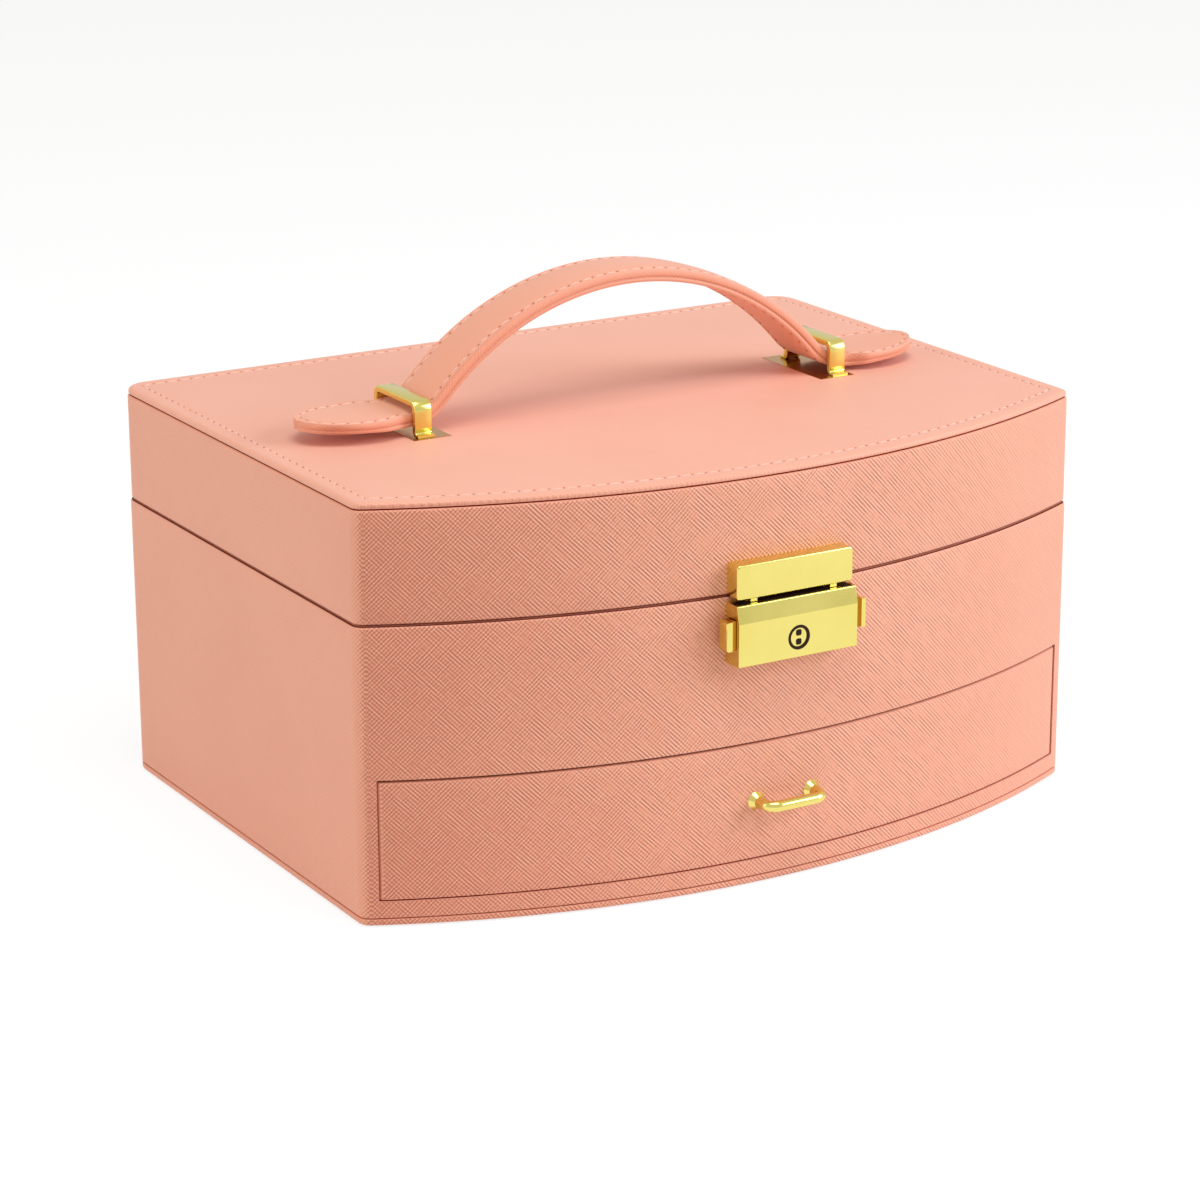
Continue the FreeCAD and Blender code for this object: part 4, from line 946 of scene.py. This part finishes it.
def tray_pads():
    """Velvet pads on the tray's floor, one in each compartment."""
    points, faces = [], []
    edge_x = INNER_X - 1.6
    def front(x):
        return bow_y(x, WALL + 1.6)
    z0, z1 = 43.55, 45.0
    for x0, x1, y0, y1 in ((-edge_x, -37.2, 23.2, 79.1), (-34.8, 34.8, 23.2, 79.1), (37.2, edge_x, 23.2, 79.1),
                           (-edge_x, -54.3, front, 20.8), (54.3, edge_x, front, 20.8), (-51.9, 51.9, front, 20.8)):
        pillow(x0, x1, y0, y1, z0, z1, 0.25, points, faces)
    obj = build("tray_pads", points, faces, sharp=70)
    dress(obj, "case", "velvet", velvet, replaces=["tray_floor_pad"])


def roll_points(half, height, count=26):
    """Loaf-shaped outline, from one lower corner over the top to the other."""
    rows = [(-half * 0.94, 0.0), (-half, 0.7)]
    straight = height - half
    for i in range(1, 5):
        rows.append((-half * (1 + 0.02 * math.sin(math.pi * i / 5)), 0.7 + (straight - 0.7) * i / 5))
    for i in range(15):
        turn = math.pi * i / 14
        rows.append((-half * math.cos(turn), straight + half * math.sin(turn)))
    for i in range(4, 0, -1):
        rows.append((half * (1 + 0.02 * math.sin(math.pi * i / 5)), 0.7 + (straight - 0.7) * i / 5))
    rows += [(half, 0.7), (half * 0.94, 0.0)]
    return rows


def ring_rolls():
    """Seven velvet rolls, each drawn in at its gathered ends."""
    points, faces = [], []
    ends = ((0.0, 1.0), (0.2, 1.0), (0.36, 1.0), (0.43, 0.985), (0.465, 0.95), (0.485, 0.9), (0.5, 0.82))
    shares = [(-a, f) for a, f in reversed(ends[1:])] + list(ends)
    chance = random.Random(7)
    for roll in range(7):
        y0 = 20.9 - 0.4 - 5.7 - roll * 12.4
        first = len(points)
        sway = [chance.uniform(-0.12, 0.12) for _ in range(4)]
        for along, full in shares:
            wave = sway[0] * math.sin(9 * along + sway[1] * 20) + sway[2] * math.sin(23 * along)
            rows = roll_points(5.62 * full, 20.9 * (1 - 0.4 * (1 - full)) + wave)
            for i, (dy, dz) in enumerate(rows):
                pleat = 0.12 * math.sin(i * 2.4) * max(0.0, (abs(along) - 0.4) / 0.1)
                points.append((along * 103.2, y0 + dy * (1 + pleat * 0.3), 45.1 + dz + pleat))
        m = len(rows)
        for i in range(len(shares) - 1):
            for j in range(m):
                k = (j + 1) % m
                a = first + i * m
                faces.append((a + j, a + m + j, a + m + k, a + k))
        faces.append(tuple(first + j for j in range(m)))
        faces.append(tuple(first + (len(shares) - 1) * m + j for j in range(m)))
    obj = build("velvet_rolls", points, faces, sharp=60)
    dress(obj, "case", "velvet", velvet, replaces=["ring_rolls"])


BARREL_Z, BARREL_FACE, LOCK_FACE = 67.8, -90.35, -90.6


def keyhole():
    """Dark ring round the key barrel as painted shade of its gap, and the barrel's face with two short dark slits as
    a plain keyway, painted shade of its hollow.
    """
    points, faces = [], []
    count = 48
    rows = ((2.5, 0.2), (2.5, -0.03), (3.3, -0.03), (3.3, 0.2))
    for i in range(count):
        turn = 2 * math.pi * i / count
        for radius, depth in rows:
            points.append((radius * math.cos(turn), LOCK_FACE + depth, BARREL_Z + radius * math.sin(turn)))
    for i in range(count):
        k = (i + 1) % count
        for j in range(4):
            l = (j + 1) % 4
            faces.append((i * 4 + j, k * 4 + j, k * 4 + l, i * 4 + l))
    dress(build("keyhole_ring", points, faces), "case", "steel", painted_shade_metal)
    turns = [2 * math.pi * i / count for i in range(count)]
    disc = [(2.47 * math.cos(turn), BARREL_Z + 2.47 * math.sin(turn)) for turn in turns]
    face_plate("key_face", disc, BARREL_FACE - 0.06, BARREL_FACE + 0.1, gold)
    for way, tag in ((1, "upper"), (-1, "lower")):
        low, high = sorted((BARREL_Z + way * 0.38, BARREL_Z + way * 2.05))
        slit = rounded_loop(0.85, low, high, 0.5)
        face_plate("keyway_" + tag, slit, BARREL_FACE - 0.09, BARREL_FACE - 0.02, painted_shade_metal)


def face_plate(name, loop, front, back, mat):
    """Thin plate on the key barrel's face, from an outline (x, z)."""
    m = len(loop)
    points = [(x, y, z) for y in (front, back) for x, z in loop]
    faces = [(j, (j + 1) % m, m + (j + 1) % m, m + j) for j in range(m)]
    faces += [tuple(range(m)), tuple(range(m, 2 * m))]
    dress(build(name, points, faces, sharp=50), "barrel", "steel", mat)


def lock_throat():
    """Dark top of the lock, between and beside the slots for the prongs: painted shade of the gap under the hasp."""
    for x0, x1, tag in ((-17.2, -13.8, "left"), (-10.4, 10.4, "middle"), (13.8, 17.2, "right")):
        piece = block("lock_throat_" + tag, x0, x1, -89.3, FRONT_Y - 0.9, LOCK_TOP - 0.3, LOCK_TOP + 0.04)
        dress(piece, "case", "steel", painted_shade_metal)


LOCK_TOP = 78.5


HASP_HALF, HASP_LOW, HASP_HIGH, HASP_FRONT = 17.6, 79.6, 88.8, -88.75


def rounded_loop(half, low, high, radius, pieces=5):
    """Outline (x, z) of a rectangle with rounded corners, anticlockwise from its lower right corner."""
    loop = []
    for cx, cz, start in ((half - radius, low + radius, -0.5), (half - radius, high - radius, 0.0),
                          (-half + radius, high - radius, 0.5), (-half + radius, low + radius, 1.0)):
        for i in range(pieces + 1):
            turn = math.pi * (start + 0.5 * i / pieces)
            loop.append((cx + radius * math.cos(turn), cz + radius * math.sin(turn)))
    return loop


def hasp():
    """Plate on the lid's front with rounded corners and a rounded front edge."""
    points, faces = [], []
    rows = ((0.45, 0.0), (0.22, 0.06), (0.06, 0.22), (0.0, 0.5))
    for inset, back in rows:
        loop = rounded_loop(HASP_HALF - inset, HASP_LOW + inset, HASP_HIGH - inset, 1.1 - inset * 0.6)
        points += [(x, HASP_FRONT + back, z) for x, z in loop]
    m = len(loop)
    for x, z in loop:
        points.append((x, -85.3 if z < LID_BOTTOM + 0.6 else bow_y(x, LID_INSET) + 0.25, z))
    for i in range(len(rows)):
        for j in range(m):
            k = (j + 1) % m
            faces.append((i * m + j, i * m + k, (i + 1) * m + k, (i + 1) * m + j))
    faces.append(tuple(range(m)))
    faces.append(tuple(len(rows) * m + j for j in range(m)))
    dress(build("hasp", points, faces, sharp=50), "lid", "gold", gold, replaces=["hasp_plate"])


def button_caps():
    """Broad end of each side button, and the neck between it and the lock in a darker gold as painted shade."""
    for side, tag in ((-1, "left"), (1, "right")):
        x0, x1 = sorted((side * 19.7, side * 21.3))
        cap = block("button_cap_" + tag, x0, x1, -89.9, -85.7, 67.0, 74.7)
        bm = bmesh.new()
        bm.from_mesh(cap.data)
        outer = [e for e in bm.edges if all(abs(v.co.x) > 0.0208 for v in e.verts)]
        bmesh.ops.bevel(bm, geom=outer, offset=0.0005, segments=3, affect="EDGES", profile=0.5)
        bm.to_mesh(cap.data)
        bm.free()
        dress(smooth(cap, 40), "button_" + tag, "gold", gold)
        x0, x1 = sorted((side * 17.2, side * 19.75))
        neck = block("button_neck_" + tag, x0, x1, -89.12, -85.9, 67.0, 74.7)
        dress(neck, "button_" + tag, "gold", gold_shaded)


def opening_shade():
    """Shaded strips on the four sides of the drawer's opening, just behind its front edge."""
    thin, near, far = 0.12, 0.7, 3.6
    parts = []
    for side in (-1, 1):
        edge = side * INNER_X
        x0, x1 = sorted((edge, edge - side * thin))
        y = bow_y(INNER_X)
        parts.append(([x0, x1], lambda x, y=y: y, OPEN_LOW, OPEN_HIGH))
    steps = [-INNER_X + 0.2 + (2 * INNER_X - 0.4) * i / 64 for i in range(65)]
    parts.append((steps, bow_y, OPEN_LOW, OPEN_LOW + thin))
    parts.append((steps, bow_y, OPEN_HIGH - thin, OPEN_HIGH))
    points, faces = [], []
    for xs, front, low, high in parts:
        first = len(points)
        for x in xs:
            points += [(x, front(x) + near, low), (x, front(x) + near, high),
                       (x, front(x) + far, high), (x, front(x) + far, low)]
        for i in range(len(xs) - 1):
            a = first + 4 * i
            faces += [(a + j, a + (j + 1) % 4, a + 4 + (j + 1) % 4, a + 4 + j) for j in range(4)]
        faces.append(tuple(range(first, first + 4)))
        faces.append(tuple(range(len(points) - 4, len(points))))
    dress(build("opening_shade", points, faces), "case", "leatherette", gap_shade)


def drawer_cover():
    obj = bowed_shell("drawer_skin", DRAWER_HALF, DRAWER_LOW, DRAWER_HIGH, 0.75, WALL, COVER)
    dress(obj, "drawer", "leatherette", skin, replaces=["drawer_front_cover"])


# Stage

def stage():
    mesh = bpy.data.meshes.new("floor")
    mesh.from_pydata([(-12, -12, 0), (12, -12, 0), (12, 12, 0), (-12, 12, 0)], [], [(0, 1, 2, 3)])
    floor = link(bpy.data.objects.new("floor", mesh))
    mat, nodes, links, shader = material("pale_floor")
    shader.inputs["Base Color"].default_value = (0.86, 0.86, 0.86, 1.0)
    shader.inputs["Roughness"].default_value = 0.9
    shader.inputs["Specular IOR Level"].default_value = 0.0
    glow = nodes.new("ShaderNodeEmission")
    path = nodes.new("ShaderNodeLightPath")
    seen = maths(nodes, links, "MAXIMUM", path.outputs["Is Camera Ray"], path.outputs["Is Glossy Ray"])
    seen = maths(nodes, links, "MAXIMUM", seen, path.outputs["Is Transmission Ray"])
    links.new(maths(nodes, links, "MULTIPLY", seen, 0.82), glow.inputs["Strength"])
    add = nodes.new("ShaderNodeAddShader")
    dim = nodes.new("ShaderNodeMixShader")
    dark = nodes.new("ShaderNodeBsdfDiffuse")
    dark.inputs["Color"].default_value = (0.24, 0.24, 0.24, 1.0)
    links.new(seen, dim.inputs[0])
    links.new(shader.outputs[0], dim.inputs[1])
    links.new(dark.outputs[0], dim.inputs[2])
    links.new(dim.outputs[0], add.inputs[0])
    links.new(glow.outputs[0], add.inputs[1])
    links.new(add.outputs[0], nodes["Material Output"].inputs["Surface"])
    mesh.materials.append(mat)


def world():
    space = bpy.data.worlds.new("studio")
    bpy.context.scene.world = space
    space.use_nodes = True
    nodes, links = space.node_tree.nodes, space.node_tree.links
    back = nodes["Background"]
    path = nodes.new("ShaderNodeLightPath")
    seen = maths(nodes, links, "MAXIMUM", path.outputs["Is Camera Ray"], path.outputs["Is Transmission Ray"])
    clear = maths(nodes, links, "MULTIPLY_ADD", seen, 1.0 - WORLD_FILL, WORLD_FILL)
    strength = maths(nodes, links, "MULTIPLY_ADD", path.outputs["Is Glossy Ray"], WORLD_GLOSS - WORLD_FILL, clear)
    links.new(strength, back.inputs["Strength"])
    plain_white = maths(nodes, links, "MAXIMUM", seen, path.outputs["Is Glossy Ray"])
    links.new(ramp(nodes, links, plain_white, ((0.0, WORLD_TINT), (1.0, (1.0, 1.0, 1.0)))), back.inputs["Color"])


def lamp(name, place, aim, size, watts, tint=(1, 1, 1)):
    data = bpy.data.lights.new(name, "AREA")
    data.shape = "RECTANGLE"
    data.size, data.size_y = size
    data.energy = watts
    data.color = tint
    obj = link(bpy.data.objects.new(name, data))
    obj.location = place
    obj.rotation_euler = (Vector(aim) - Vector(place)).to_track_quat("-Z", "Y").to_euler()


WORLD_FILL = 0.37
WORLD_GLOSS = 0.72
WORLD_TINT = (1.0, 0.94, 0.86)


def camera():
    yaw, pitch, roll = (math.radians(a) for a in (30.5955, 17.3581, -0.2482))
    view = Vector((math.sin(yaw) * math.cos(pitch), math.cos(yaw) * math.cos(pitch), -math.sin(pitch)))
    right = Vector((math.cos(yaw), -math.sin(yaw), 0.0))
    up = right.cross(view)
    right, up = (math.cos(roll) * right + math.sin(roll) * up, -math.sin(roll) * right + math.cos(roll) * up)
    data = bpy.data.cameras.new("camera")
    data.sensor_width = 36.0
    data.lens = 36.0 * 3621.2 / 1200.0
    data.clip_start = 0.01
    data.clip_end = 60.0
    obj = link(bpy.data.objects.new("camera", data))
    turn = Matrix((right, up, -view)).transposed().to_4x4()
    obj.matrix_world = Matrix.Translation((-0.49029, -0.82018, 0.35224)) @ turn
    bpy.context.scene.camera = obj


camera()
stage()
world()
lamp("key", (1.15, -0.95, 0.75), (0, 0, 0.06), (0.9, 0.9), 13.8, (0.96, 1.04, 1.18))
lamp("fill", (-1.3, 0.4, 0.55), (0, 0, 0.06), (0.9, 0.9), 4.9)
lamp("top", (-0.1, -0.36, 1.37), (0, 0, 0.1), (0.8, 0.8), 8.9, (0.97, 1.0, 1.04))

finish_cad_nodes()
case_skin()
base_skin()
lid_skin()
panel()
panel_stitches()
gap_ring()
opening_shade()
drawer_cover()
keyhole()
lock_throat()
hasp()
button_caps()
strap()
left_loop, right_loop = loops()
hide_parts("handle_loops")
tray_pads()
ring_rolls()

bpy.context.scene.view_settings.view_transform = "Standard"
